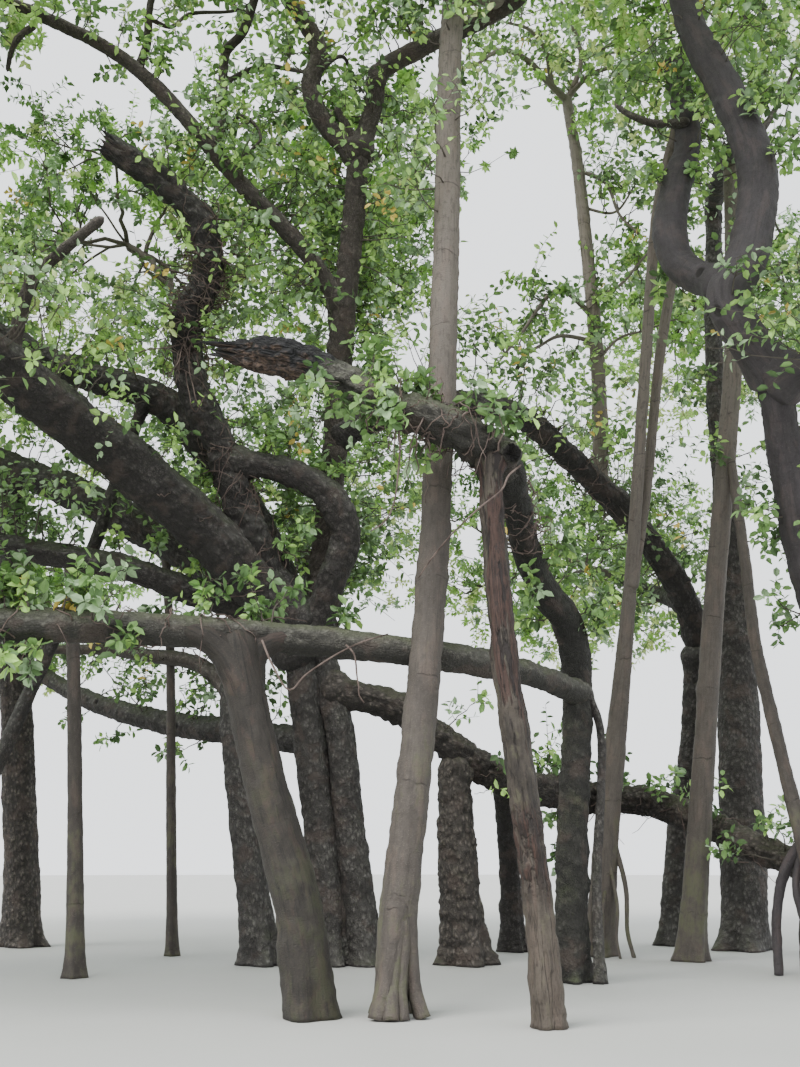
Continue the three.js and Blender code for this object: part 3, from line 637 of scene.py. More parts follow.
limb(
    "back_left_bough", dark_bark, (0.48, 0.44, 0.28),
    (-0.5, 0.25, 3.4), (-2.52, 2.4, 3.85), (-3.96, 3.9, 4.18), (-6.13, 5.9, 4.96), (-8.6, 8.1, 6.3),
    tone=0.3,
    holes=((0.114, (0.1, -1, -0.1), 0.95), (0.62, (0, -1, 0.1), 0.85), (0.36, (0, -1, -0.2), 0.7)), **OLD,
)
limb(
    "back_bough", dark_bark, (0.48, 0.42, 0.3),
    (-0.6, 0.2, 5.1), (-0.8, 1.8, 6.6), (-1.1, 3.6, 7.3), (-1.5, 5.4, 8.6),
    tone=0.3, **OLD,
)
limb(
    "cross_bough", dark_bark, (0.4, 0.44, 0.48, 0.5),
    (-0.3, -0.45, 8.5), (1.2, -0.7, 9), (2.66, -0.5, 8.96), (4.12, 1.2, 8.59), (5.47, 2.4, 7.71),
    (6.51, 3.2, 6.37), (6.7, 3.5, 5.5),
    tone=0.35, **OLD,
)
limb(
    "back_right_bough", dark_bark, (0.38, 0.26),
    (6.45, 3.1, 6.4), (6.3, 4.8, 7), (5.8, 6.5, 7.8),
    tone=0.3,
)

# The arch stands in front: a leg from the ground to a knotted elbow with a hollow stub, a long level
# bough that leaves it half way up, and over the elbow an arm whose far end was burnt and broken off.
charred_bark = old_bark(
    "charred_bark", (0.034, 0.032, 0.027, 1), (0.112, 0.103, 0.086, 1), (0.18, 0.175, 0.15, 1),
    (0.066, 0.078, 0.038, 1), patchy=0.7, knobs=0.3, burnt=True,
)
limb(
    "arch_leg", charred_bark, (0.44, 0.42, 0.4, 0.42, 0.41, 0.36, 0.34),
    (3.06, -2.4, 0), (3.17, -2.4, 1.68), (3.34, -2.4, 4.1), (3.19, -2.7, 4.76), (2.8, -3.3, 5.13),
    (2.49, -4, 5.53), (2.1, -5.65, 6.2),
    tone=-0.75, flute=0.1, swell=0.12, lumps=0.022, knots=0.7, collars=0.5,
)
limb(
    "level_bough", charred_bark, (0.31, 0.34, 0.36, 0.36, 0.28),
    (3.36, -2.42, 3.84), (2.3, -4.1, 3.88), (1.22, -5.14, 3.88), (-0.37, -5.45, 4.02), (-2.2, -6.1, 4.02),
    (-4.47, -6.5, 4.08), (-6.6, -6.2, 4.9), (-8, -5.6, 5.6),
    tone=0.25, flute=0.08, swell=0.14, lumps=0.022, knots=0.8, collars=0.6,
)
limb(
    "arch_bough", charred_bark, (0.42, 0.5, 0.46, 0.4, 0.35, 0.4, 0.46, 0.2),
    (2.03, -5.3, 6.2), (1.6, -6.1, 6.31), (0.8, -6.2, 6.59), (0.2, -6, 7.03), (-0.42, -5.8, 7.39),
    (-1.44, -5.5, 7.7),
    slot="charred_bark", tone=0.4, flute=0.2, swell=0.16, lumps=0.045, knots=0.9, ragged=0.5, char=0.58,
    stub=((0.34, 0.3, 0.27), ((1.93, -5.5, 6.22), (2.03, -5.85, 6.15), (2.11, -6.14, 6.08))),
)

# The right-hand trunk has smoother grey bark. It carries a bough that winds up to the top, with an inner
# one that swells out beside it, and others that leave to the right and to the back. Young roots splay
# from it near the ground.
def smooth_bark(name, dark, light, stain, scar, rings, wrinkles, streaked, damp, paler_higher_up=0.0):
    """Thin mottled bark with lengthwise grain, fine creases and faint ring scars across it, and algae."""
    paint = Paint(name, 0.76)
    bark, tone, hollow = bark_marks(paint, "bark", "tone", "hollow")
    height_up = paint.last_part(paint.place())
    along = paint.last_part(bark)
    broad = paint.cloud(bark, 1.5, 3.0)
    patch = paint.drawn_out(bark, (6, 6, 2.2), 3.0)
    mottle = paint.drawn_out(bark, (15, 15, 9), 3.0, 0.6)
    streaks = paint.drawn_out(bark, (34, 34, 2.4), 4.0, 0.62)
    fine = paint.cloud(bark, 60, 4.0, 0.6)
    waves = paint.drawn_out(bark, (7, 7, 42), 3.0, 0.6)
    creases = waves.above(0.56, 0.70) * mottle.above(0.42, 0.58) * wrinkles
    ring_at = paint.math("FRACT", along * 0.83 + broad * 0.32 + mottle * 0.05)
    ring = ring_at.above(0.0, 0.010) * (1.0 - ring_at.above(0.012, 0.028)) * patch.above(0.40, 0.56) * rings
    pores = paint.cells(paint.stretch(bark, (40, 40, 66)))
    base = paint.blend(broad * 0.5 + patch * 0.4 + mottle * 0.6 + tone * 0.5 - 0.75, dark, light)
    # The bark is painted paler higher up.
    base = paint.blend(height_up.above(5.0, 11.0) * paler_higher_up, base, shade(light, 1.25))
    base = paint.blend(patch.above(0.50, 0.64) * 0.55 * streaked, base, scar)
    base = paint.blend(streaks.above(0.50, 0.66) * streaked, base, shade(dark, 0.7))
    base = paint.blend(mottle.above(0.54, 0.66) * 0.4, base, shade(dark, 0.75))
    base = paint.blend(creases, base, shade(dark, 0.5))
    base = paint.blend(fine.above(0.52, 0.78) * 0.45, base, shade(dark, 0.6))
    base = paint.blend(ring, base, shade(dark, 0.45))
    base = paint.blend((1.0 - pores.above(0.06, 0.22)) * 0.5, base, shade(light, 1.4))
    low_down = 1.0 - height_up.above(0.2, 6.0)
    algae = broad * 0.7 + patch * 0.5 + mottle * 0.5 + low_down * 0.2
    algae = algae.above(1.24 - 0.4 * damp, 1.46 - 0.4 * damp)
    base = paint.blend(algae * (0.2 + low_down * 0.5), base, stain)
    # Painted shade: knot holes and torn ends are painted near black.
    base = paint.blend(hollow.above(0.2, 0.42) * 0.95, base, PAINTED_HOLLOW_SHADE)
    height = streaks * 0.7 * streaked + fine * 0.5 + mottle * 0.5 - creases * 1.2
    return paint.dress(base, height - ring * 0.7 + (1.0 - pores) * 0.15 + patch * 0.3, 0.018, 0.9)


grey_bark = smooth_bark(
    "grey_bark", (0.026, 0.021, 0.023, 1), (0.115, 0.103, 0.108, 1), (0.068, 0.072, 0.058, 1),
    (0.110, 0.072, 0.064, 1), rings=0.2, wrinkles=0.25, streaked=0.4, damp=0.2,
)
limb(
    "right_trunk", grey_bark, (0.64, 0.56, 0.5, 0.48),
    (7.7, -1.6, 0), (7.4, -1.95, 2.4), (7.05, -2.4, 4.3), (6.62, -2.8, 5.9), (6.1, -3.7, 8.3),
    tone=0.4, flute=0.1, swell=0.1,
    roots=(
        ((0.24, 0.2, 0.14, 0.13), (7.36, -1.95, 2.3), (6.85, -1.75, 2), (6.4, -1.55, 1.5),
         (6.2, -1.46, 0.85), (6.1, -1.6, 0)),
        ((0.12, 0.11, 0.1), (6.6, -1.65, 1.75), (6.42, -1.72, 1.2), (6.44, -1.9, 0.55), (6.34, -2, 0)),
        ((0.2, 0.16, 0.13, 0.12), (7.4, -1.9, 1.9), (6.9, -1.6, 1.4), (6.6, -1.45, 0.8), (6.52, -1.42, 0)),
        ((0.16, 0.13, 0.1), (7.5, -2, 1.3), (7, -2.1, 0.9), (6.78, -2.2, 0.4), (6.7, -2.3, 0)),
    ),
)
limb(
    "winding_bough", grey_bark, (0.56, 0.6, 0.56, 0.5, 0.4),
    (6.15, -3.7, 8.2), (5.62, -4, 8.75), (5.42, -4.1, 9.2), (5.73, -4.1, 9.73), (6.1, -4, 11.2),
    (5.91, -3.9, 12.48), (5.45, -3.6, 14.25), (5.3, -3.6, 15.2),
    flute=0.05, swell=0.08, knots=0.4, holes=((0.17, (-0.8, -0.6, -0.2), 0.55),),
)
limb(
    "right_inner_bough", grey_bark, (0.46, 0.54, 0.44, 0.36),
    (5.5, -4, 9.4), (5.1, -3.2, 10.2), (5.03, -2.9, 10.94), (5.27, -2.6, 11.95), (5.63, -2.3, 13.12),
    (5.57, -1.95, 15.1),
    flute=0.05, swell=0.08, knots=0.2, holes=((0.085, (-0.25, -0.9, -0.25), 0.8),),
)
limb(
    "right_outer_bough", grey_bark, (0.48, 0.46, 0.34),
    (6.15, -3.7, 8.1), (6.5, -4.1, 8.13), (7.63, -5.5, 7.97), (9, -6.2, 8.6),
)
limb(
    "right_side_bough", dark_bark, (0.42, 0.3),
    (6.4, -3.15, 6.9), (7.6, -2.8, 8.6), (9.5, -1.5, 10.3),
    tone=0.4,
)
limb(
    "right_back_bough", dark_bark, (0.4, 0.38, 0.28),
    (6, -4, 10.6), (6.6, -2.4, 12.7), (7, -0.4, 14.2), (7.4, 2.2, 14.7), (8.2, 4.7, 14.8),
    tone=0.4,
)

# Younger prop roots are smooth poles with thin pinkish-tan bark, ringed by faint scars and freckled with
# lenticels, and greenish near the ground. Each has grown down from a bough and spread toes in the soil.
pale_bark = smooth_bark(
    "pale_bark", (0.046, 0.038, 0.033, 1), (0.175, 0.150, 0.128, 1), (0.092, 0.098, 0.052, 1),
    (0.150, 0.100, 0.080, 1), rings=0.6, wrinkles=0.15, streaked=0.4, damp=0.6, paler_higher_up=0.6,
)
POLE = {"flute": 0.03, "swell": 0.05, "lumps": 0.008, "knots": 0.12}
limb(
    "tall_pale_pole", pale_bark, (0.4, 0.38, 0.37, 0.36, 0.35, 0.33),
    (0.71, -5.86, 0), (0.78, -5.8, 1), (0.98, -5.6, 2.62), (1.16, -5.3, 4.52), (1.31, -5, 6.82),
    (1.44, -4.6, 9.66), (1.61, -4.1, 14), (1.74, -3.7, 14.8), (2.5, -3.15, 15.25),
    slot="pale_bark", toes=3, spread=-0.3, flute=0.06, swell=0.07, lumps=0.012, knots=0.25,
    roots=(
        ((0.18, 0.14, 0.1, 0.12), (0.82, -5.93, 0.95), (0.83, -6, 0.6), (0.81, -6.06, 0.28),
         (0.84, -6.12, 0)),
        ((0.22, 0.17, 0.14, 0.17), (0.87, -5.86, 1), (0.92, -5.91, 0.55), (0.96, -5.94, 0.24),
         (1.03, -5.97, 0)),
        ((0.24, 0.22, 0.19, 0.2), (0.76, -5.93, 1.1), (0.7, -6, 0.6), (0.64, -6.06, 0.26),
         (0.57, -6.1, 0)),
        ((0.22, 0.19, 0.16, 0.18), (0.78, -5.94, 0.95), (0.74, -6.02, 0.5), (0.71, -6.08, 0.22),
         (0.71, -6.16, 0)),
        ((0.2, 0.18, 0.17, 0.2), (0.82, -5.72, 1), (0.83, -5.62, 0.5), (0.86, -5.56, 0.22),
         (0.9, -5.48, 0)),
        ((0.2, 0.18, 0.17, 0.2), (0.74, -5.74, 0.9), (0.66, -5.7, 0.45), (0.62, -5.66, 0.2),
         (0.56, -5.6, 0)),
    ),
)
limb(
    "twin_pole_left", pale_bark, (0.48, 0.4, 0.24, 0.2, 0.19, 0.18),
    (4.17, 1.7, 0), (4.34, 1.4, 2.04), (4.58, 1.1, 3.88), (4.82, 0.5, 6.23), (5.06, -0.7, 9.9),
    (5.25, -1.6, 12.4), (5.6, -2.2, 13.8),
    slot="pale_bark", tone=0.8,
    roots=(
        ((0.08, 0.07, 0.06), (4.2, 1.45, 1.7), (4.02, 1.36, 1), (3.93, 1.3, 0.4), (3.9, 1.28, 0)),
        ((0.07, 0.06, 0.05), (4.34, 1.32, 1.5), (4.42, 1.22, 0.8), (4.36, 1.12, 0.3), (4.4, 1.1, 0)),
        ((0.09, 0.08, 0.07), (4.44, 1.4, 1.9), (4.6, 1.34, 1.1), (4.58, 1.3, 0.4), (4.66, 1.28, 0)),
        ((0.06, 0.05, 0.04), (4.28, 1.38, 1.2), (4.16, 1.22, 0.6), (4.14, 1.16, 0)),
    ),
    **POLE,
)
limb(
    "twin_pole_right", pale_bark, (0.17, 0.18, 0.17),
    (4.83, 0.48, 6.1), (5.11, 0.3, 7.55), (5.37, -0.4, 10), (5.6, -0.9, 11.5), (5.72, -1.3, 12.7),
    (5.64, -2.1, 14.3),
    slot="pale_bark", tone=0.9, **POLE,
)
limb(
    "grey_pole", pale_bark, (0.42, 0.36, 0.34, 0.32, 0.3),
    (5.45, 0.7, 0), (5.88, 0.5, 3.32), (6.17, 0.3, 5.72), (6.51, 0.1, 8.11), (6.82, -0.1, 10.63),
    (7, -0.38, 14.15),
    slot="pale_bark", **POLE,
)
limb(
    "left_pole", pale_bark, (0.24, 0.21, 0.2),
    (-3.66, -1.9, 0), (-3.89, -1.7, 2.1), (-4.25, -1.3, 4.66), (-4.52, -0.98, 6.26),
    slot="pale_bark", tone=0.2, collars=0.2, **POLE,
)
limb(
    "thin_pole", pale_bark, (0.19, 0.16, 0.15),
    (-3.04, 1.7, 0), (-3.17, 1.5, 2.55), (-3.3, 1.3, 5.14), (-3.45, 1, 7.1),
    slot="pale_bark", tone=0.15, **POLE,
)

# Older prop roots are pillars, all but one in the dark bark, from the broad one on the right to the slim
# one beside the arch. Their tops run up into the boughs that they hold.
PILLAR = {"flute": 0.06, "swell": 0.07, "knots": 0.25}
limb(
    "slim_pole", dark_bark, (0.14, 0.12, 0.12),
    (3.42, -2.66, 0), (3.46, -2.5, 1.2), (3.6, -2.4, 2.5), (3.62, -2.4, 3.4), (3.34, -2.42, 4.1),
    tone=0.7, **PILLAR,
)
limb(
    "broad_pillar", dark_bark, (0.84, 0.76, 0.6, 0.36, 0.32),
    (7.01, 3, 0), (7.14, 2.9, 2.62), (7.23, 2.7, 5.4), (7.21, 2.4, 8.32), (7.12, 2.2, 10.8),
    (7.4, 2.15, 14.65),
    tone=0.4, **PILLAR,
)
limb(
    "slanting_pole", pale_bark, (0.26, 0.2, 0.19, 0.15),
    (6.61, -2.4, 0), (6.52, -1.3, 3.14), (6.46, -0.8, 4.91), (6.55, -0.4, 6.34), (6.59, 0.04, 8.7),
    tone=0.2, collars=0.3, **PILLAR,
)
limb(
    "short_pillar", dark_bark, (0.4, 0.34, 0.3),
    (2.8, 2.6, 0), (2.72, 2.1, 1.4), (2.5, 0.7, 2.85),
    tone=0.3, **PILLAR,
)
limb(
    "left_stem", dark_bark, (0.52, 0.46, 0.46),
    (-1.32, 0, 0), (-1.67, 0, 2.16), (-1.93, 0.1, 4.08), (-1.9, 0.5, 6.05),
    tone=0.3, **PILLAR,
)
limb(
    "diagonal_pole", dark_bark, (0.26, 0.22, 0.21),
    (-6.22, -1.5, 0), (-5.35, -0.9, 3.07), (-4.29, -0.5, 6.57), (-4.05, -0.4, 7.68), (-3.6, -0.52, 9.2),
    tone=0.6, **PILLAR,
)
limb(
    "back_pillar", dark_bark, (0.5, 0.46, 0.44),
    (5.96, 4.1, 0), (6.26, 4.1, 2.11), (6.54, 3.8, 3.81), (6.7, 3.5, 5.7),
    tone=0.3, **PILLAR,
)

# One pillar sheds its bark: red-brown and tan scars show through it, with grooves down the wood. Another
# leans, stained nearly black, and forks into two short arms under the level bough. Two stout ones are
# pebbled all over.
MOSS_BLOT = (0.080, 0.078, 0.044, 1)
GASH_BLACK = (0.014, 0.009, 0.009, 1)
SCAB = ((0.016, 0.009, 0.008, 1), (0.070, 0.034, 0.026, 1))


def peeling_bark(name, dark, light, raw):
    """Bark that comes off in long strips: red-brown scars, tan wood and black gashes, all lengthwise."""
    paint = Paint(name, 0.8)
    bark, tone, hollow = bark_marks(paint, "bark", "tone", "hollow")
    height_up = paint.last_part(paint.place())
    strips = paint.drawn_out(bark, (6, 6, 0.8), 3.0, 0.6)
    streaks = paint.drawn_out(bark, (42, 42, 3.2), 4.0, 0.65)
    gashes = paint.drawn_out(bark, (13, 13, 1.7), 4.0, 0.6)
    fine = paint.cloud(bark, 55, 4.0, 0.6)
    blots = paint.drawn_out(bark, (11, 11, 6), 3.0, 0.6)
    bare = 0.4 + height_up.above(1.8, 3.6) * 0.6
    cut = gashes.above(0.55, 0.62) * bare
    stripped = strips.above(0.51, 0.56)
    scabs = height_up.above(1.05, 1.45) * (1.0 - height_up.above(1.85, 2.2))
    scabs = scabs * (blots + gashes * 0.6).above(0.70, 0.82)
    raw_wood = paint.blend(streaks.above(0.35, 0.65), shade(raw, 0.4), shade(raw, 1.6))
    base = paint.blend(strips.above(0.32, 0.62) * 0.6 + streaks * 0.5 + blots * 0.6 - 0.45, dark, light)
    base = paint.blend(blots.above(0.56, 0.66) * 0.5, base, MOSS_BLOT)
    base = paint.blend(stripped * bare, base, raw_wood)
    base = paint.blend(streaks.above(0.52, 0.68) * 0.45, base, shade(dark, 0.55))
    base = paint.blend(cut * 0.9, base, GASH_BLACK)
    base = paint.blend((1.0 - blots.above(0.34, 0.42)) * 0.8, base, (0.016, 0.011, 0.010, 1))
    base = paint.blend((1.0 - height_up.above(0.8, 1.3)) * 0.35, base, shade(light, 1.15))
    base = paint.blend(scabs * 0.85, base, paint.blend(streaks.above(0.45, 0.6), *SCAB))
    base = paint.blend(fine.above(0.5, 0.75) * 0.4, base, shade(dark, 0.6))
    # Painted shade: knot holes are painted near black.
    base = paint.blend(hollow.above(0.1, 0.7) * 0.9, base, (0.014, 0.011, 0.009, 1))
    height = streaks * 0.7 + fine * 0.4 + blots * 0.8 - stripped * 1.1 - cut * 1.8 + scabs * streaks * 3.0
    return paint.dress(base, height, 0.022, 1.0)


peeled_bark = peeling_bark(
    "peeled_bark", (0.020, 0.016, 0.013, 1), (0.112, 0.091, 0.072, 1), (0.044, 0.023, 0.018, 1),
)
stained_bark = smooth_bark(
    "stained_bark", (0.012, 0.010, 0.008, 1), (0.074, 0.060, 0.049, 1), (0.040, 0.044, 0.022, 1),
    (0.066, 0.038, 0.030, 1), rings=0.1, wrinkles=0.15, streaked=0.8, damp=0.6,
)
limb(
    "leaning_pillar", stained_bark, (0.52, 0.46, 0.42),
    (-0.14, -5.9, 0), (-0.27, -5.9, 1.03), (-0.61, -5.85, 2.14), (-0.87, -5.8, 3.1), (-1.1, -5.76, 4.08),
    slot="rough_bark", toes=3, spread=0.2, flute=0.045, swell=0.06, lumps=0.014, knots=0.6, collars=0.4,
    roots=(
        ((0.36, 0.36, 0.3, 0.18), (-0.9, -5.8, 3.2), (-1.16, -5.84, 3.76), (-1.5, -5.92, 4),
         (-2.1, -6.06, 4.04)),
        ((0.36, 0.34, 0.28, 0.16), (-0.9, -5.78, 3.25), (-0.88, -5.66, 3.8), (-0.6, -5.54, 4),
         (-0.1, -5.38, 4.0)),
    ),
)
limb(
    "peeling_pillar", peeled_bark, (0.32, 0.28, 0.28, 0.3),
    (2.24, -6.6, 0), (2.15, -6.4, 1.65), (1.93, -6.2, 3.86), (1.85, -5.92, 6.15),
    slot="rough_bark", tone=0.6, toes=3, spread=0.1, flute=0.18, swell=0.18, lumps=0.02, knots=1.3,
)
limb(
    "pebbled_pillar", pebbled_bark, (0.66, 0.58, 0.5),
    (1.8, 0.1, 0), (1.72, 0.1, 1.55), (1.68, 0.18, 3.25),
    slot="rough_bark", tone=0.4, flute=0.1, swell=0.08, lumps=0.035, collars=0.4,
)
limb(
    "edge_pillar", pebbled_bark, (0.68, 0.58, 0.5),
    (-6.27, 3.8, 0), (-6.43, 3.4, 2.64), (-6.56, 2.7, 5.4), (-6.7, 1.95, 8.75),
    slot="rough_bark", tone=0.4, flute=0.1,
)

# Lesser boughs of the crown are thin and crooked, and some are only dead stubs. Most fork from the boughs
# of the top, one stands lopped on the great bough, and one leaves a pillar low down at the back. A slim
# pale stem stands on the cross bough and spreads such boughs of its own under the sky.
DARK_CROOKS = (
    ((0.17, 0.11), (-3.72, -2.2, 14.62), (-3.57, -2.3, 15.03), (-3.52, -2.5, 15.48), (-3.43, -2.7, 15.91)),
    ((0.08, 0.05), (-3.49, -2.4, 15.47), (-3.22, -2.2, 15.5), (-2.93, -2, 15.95), (-2.12, -1.8, 16.22),
     (-1.66, -1.7, 16.7)),
    ((0.13, 0.07), (-5.43, -2.6, 15.17), (-5.62, -2.7, 14.85), (-5.77, -2.6, 14.63), (-5.88, -2.4, 14.4)),
    ((0.2, 0.15), (-2.32, -2.1, 13.11), (-2.27, -2, 13.9), (-2.3, -1.9, 14.76), (-2.25, -2, 15.14),
     (-1.94, -2.2, 15.39), (-1.68, -2.4, 16.14)),
    ((0.11, 0.06), (-2.29, -1.9, 14.55), (-2.02, -1.8, 14.84), (-1.63, -1.9, 14.93), (-1.13, -2.2, 14.62),
     (-0.79, -2.5, 14.31)),
    ((0.09, 0.04), (-0.52, -2.7, 14.23), (-0.17, -2.5, 14.62), (-0.01, -2.2, 14.48), (0.18, -2, 14.27)),
    ((0.15, 0.12), (0.13, -2.3, 12.89), (-0.03, -2.5, 13.13), (-0.27, -2.7, 13.46)),
    ((0.2, 0.18), (0.45, -2.6, 13.96), (0.36, -2.66, 14.33)),
    ((0.08, 0.04), (-2.37, -2.1, 13.15), (-1.88, -2.3, 13.59), (-1.52, -2.4, 13.09), (-1.79, -2.5, 12.65)),
    ((0.16, 0.07), (5.56, -2.5, 13.32), (5.15, -2.1, 13.6), (4.82, -1.9, 13.9), (4.62, -1.7, 14.3),
     (4.83, -1.5, 14.85)),
    ((0.12, 0.06), (6, -3.95, 11.7), (6.66, -3.5, 12.79), (7.32, -3.1, 14.06)),
    ((0.22, 0.2, 0.17, 0.15), (-4.72, -3.7, 8.3), (-4.7, -3.8, 8.75), (-4.43, -4.1, 9.47),
     (-3.96, -4.3, 9.84), (-3.38, -4.5, 10.24)),
    ((0.3, 0.26, 0.22, 0.14), (-1.86, 0.1, 4.1), (-2.7, 0.8, 4.8), (-3.7, 1.5, 5.07), (-4.75, 2.3, 5.33),
     (-6.5, 2.75, 5.4)),
)
PALE_CROOKS = (
    ((0.32, 0.28, 0.26, 0.22), (4.64, 1.9, 8.4), (4.7, 1.9, 9.49), (4.73, 1.9, 10.87), (4.69, 1.9, 12.42),
     (4.62, 1.9, 14.03), (4.53, 1.9, 15.7), (4.37, 1.9, 17.32)),
    ((0.16, 0.07), (4.37, 1.9, 17.2), (3.93, 1.5, 17.33), (3.45, 1.1, 17.56), (2.92, 0.8, 17.55),
     (2.38, 0.5, 16.99)),
    ((0.12, 0.05), (4.03, 1.6, 17.31), (3.84, 1.1, 17.81), (3.48, 0.7, 17.96), (2.93, 0.3, 17.81)),
    ((0.14, 0.06), (4.37, 1.9, 17.2), (4.87, 1.7, 17.67), (5.37, 1.4, 17.63), (6, 1.1, 17.26)),
    ((0.14, 0.06), (4.4, 1.9, 17.2), (4.7, 1.7, 18.06), (4.47, 1.3, 18.62), (4.18, 0.9, 18.9)),
    ((0.1, 0.04), (4.55, 1.9, 15.45), (5.05, 1.7, 15.03), (5.27, 1.5, 14.12), (5.6, 1.3, 13.54)),
    ((0.07, 0.04), (4.62, 1.9, 14.55), (5.22, 1.7, 14.32), (5.6, 1.4, 14.76)),
    ((0.12, 0.05), (4.71, 1.9, 12.01), (3.98, 1.5, 12.42), (3.11, 1.1, 11.23), (2.69, 0.9, 10.61)),
    ((0.1, 0.04), (4.72, 1.9, 11.48), (3.97, 1.7, 11.51), (3.34, 1.5, 11.11), (2.89, 1.3, 11.1)),
    ((0.07, 0.04), (4.74, 1.9, 11.09), (5.16, 1.7, 11.47), (5.65, 1.4, 11.49)),
    ((0.08, 0.04), (4.69, 1.9, 12.42), (5.21, 1.6, 12.59), (5.56, 1.3, 12.93), (5.91, 1, 13.24)),
)
for name, crooks, material, slot, tone, held in (
    ("dark_crooks", DARK_CROOKS, high_bark, "dark_bark", 0.5, ("far_left_mass", "crown_back_mass")),
    ("pale_crooks", PALE_CROOKS, pale_bark, "pale_bark", 1.1, ("right_top_mass",)),
):
    bodies = [
        limb_body(name, diameters, points, 31 + place, flute=0.05, swell=0.1, lumps=0.012, knots=0.5)
        for place, (diameters, *points) in enumerate(crooks)
    ]
    limb_piece(name, bodies, material, tone, held)

# The crown grows on from the boughs' tips. Each mass has a stem that bends towards the middle of its
# own space, twigs to places spread evenly round it, then finer and finer ones, and leaves on the last.
# Each line: mass, the bough that it grows on, the middle of its space, and that space's half-sizes.
MASSES = (
    ("front_top_mass", "high_left_bough", (-1.6, -5.8, 17.2), (3.8, 3.6, 2.4)),
    ("front_right_mass", "high_right_bough", (4, -7.8, 15.8), (3.8, 3.5, 2.5)),
    ("far_left_mass", "far_left_bough", (-8, -4.6, 16), (3.9, 3.9, 2.6)),
    ("left_back_mass", "rising_left_bough", (-5, 2.2, 14), (4.1, 3.4, 3.2)),
    ("left_side_mass", "dark_left_bough", (-8.7, -1, 11.4), (3.4, 3.2, 2.4)),
    ("great_mass", "great_bough", (-9.4, -7.2, 10.4), (3.8, 3.7, 2.6)),
    ("middle_left_mass", "middle_left_bough", (-11.2, 3.4, 11), (3.8, 3.8, 2.8)),
    ("lower_left_mass", "lower_left_bough", (-9.6, -3.8, 6.6), (3.4, 3.9, 2.2)),
    ("back_left_mass", "back_left_bough", (-9.8, 9, 7.8), (4, 3.8, 2.8)),
    ("crown_back_mass", "crown_back_bough", (-0.7, 2.8, 15.2), (3.7, 3.6, 3.2)),
    ("back_mass", "back_bough", (-2.2, 8.2, 10.4), (4.5, 3.9, 3.4)),
    ("back_right_mass", "back_right_bough", (5, 8.8, 8.9), (4.3, 3.8, 3.1)),
    ("right_back_mass", "right_back_bough", (9, 6.6, 14.8), (3.9, 3.9, 2.9)),
    ("right_top_mass", "winding_bough", (6.3, -2.2, 17.2), (3.7, 4.4, 2.6)),
    ("right_side_mass", "right_side_bough", (11.6, -0.4, 11.2), (3.7, 3.9, 2.9)),
    ("right_front_mass", "right_outer_bough", (11, -6.6, 10.2), (3.9, 3.8, 3)),
)
STEM_POINTS = 13
STEM_BEND = 0.45
STEM_RADII = (0.2, 0.085, 0.045)  # at most at its root, at least a third of the way, and at its tip
TWIGS_PER_METRE = 1.65
FIRST_TWIG = 0.62  # twigs leave the stem from this share of its length on
TWIG_STRETCH = 0.36  # and over this share of it
TWIG_REACH = 0.74  # how far they go, for the half-sizes of the space
SHORTEST_REACH = 0.3
REACH_STEP = 0.1  # how much shorter a twig is tried when something is in its way
TWIG_WIDTH = 0.085
MAIN_TWIG = (0.052, 0.02)  # radius at the root and at the tip
SPACE_EDGE = 1.06  # how far out a mass may grow, for its half-sizes
BRIDGE_EDGE = 1.26  # and how far towards a mass that is near
NEAR_MASS = 1.5
SPACE_MARGIN = 0.035
LIMB_MARGIN = 0.06
BOX_MARGIN = 0.2
GOLDEN_ANGLE = math.pi * (3 - math.sqrt(5))
# Each finer set: how many to a mass, how near the middle and the edge, thickness, points and sides.
FINER = ((46, 0.3, 0.86, 0.030, 6, 5), (210, 0.3, 0.93, 0.015, 4, 4), (900, 0.34, 0.98, 0.008, 3, 3))
FEW = 200  # a set of fewer twigs than this leaves the thicker ones free for the next set
LEAVES_ON_SHOOT = 20
BARE_SHARE = 0.3  # how much of a shoot has no leaves
LEAF_LENGTH = 0.155
LEAF_SIZES = (0.66, 1.2)  # the smallest and the largest, for that length
# A leaf's outline, along it, across it and up from it, and its faces.
KITE_LEAF = ((0, 0, 0), (0.46, 0.31, 0.05), (1, 0, -0.08), (0.46, -0.31, 0.05))
KITE_FACES = ((0, 2, 1), (0, 3, 2))
# Leaf colours, from the deep green of old leaves to the yellow of the last ones, and how common each is.
LEAF_GREENS = (
    ("deep_leaf", (0.080, 0.150, 0.050, 1), 0.16),
    ("mid_leaf", (0.180, 0.320, 0.100, 1), 0.24),
    # Painted reflection: a pale grey-green that stands in for the sky's sheen on glossy leaves.
    ("painted_sheen_leaf", (0.300, 0.440, 0.240, 1), 0.12),
    # Partly painted light: fresh and lime greens are lighter than the leaves, for sun through them.
    ("fresh_leaf", (0.370, 0.600, 0.160, 1), 0.29),
    ("lime_painted_backlight_leaf", (0.620, 0.820, 0.300, 1), 0.18),
    ("yellow_leaf", (0.700, 0.540, 0.120, 1), 0.01),
)
# Gaps through which the sky shows, seen from where the viewer stands: right, up, and their half-sizes.
SKY_GAPS = (
    (-0.26, 0.425, 0.078, 0.046), (0.13, 0.285, 0.055, 0.085), (0.285, 0.265, 0.02, 0.05),
    (-0.255, 0.258, 0.035, 0.028),
)


def seeded(seed):
    """A repeatable stream of numbers from 0 to 1."""
    state = seed
    while True:
        state = (state + 0x6D2B79F5) & 0xFFFFFFFF
        mixed = ((state ^ (state >> 15)) * (1 | state)) & 0xFFFFFFFF
        mixed = ((mixed + (((mixed ^ (mixed >> 7)) * (61 | mixed)) & 0xFFFFFFFF)) ^ mixed) & 0xFFFFFFFF
        yield ((mixed ^ (mixed >> 14)) & 0xFFFFFFFF) / 4294967296


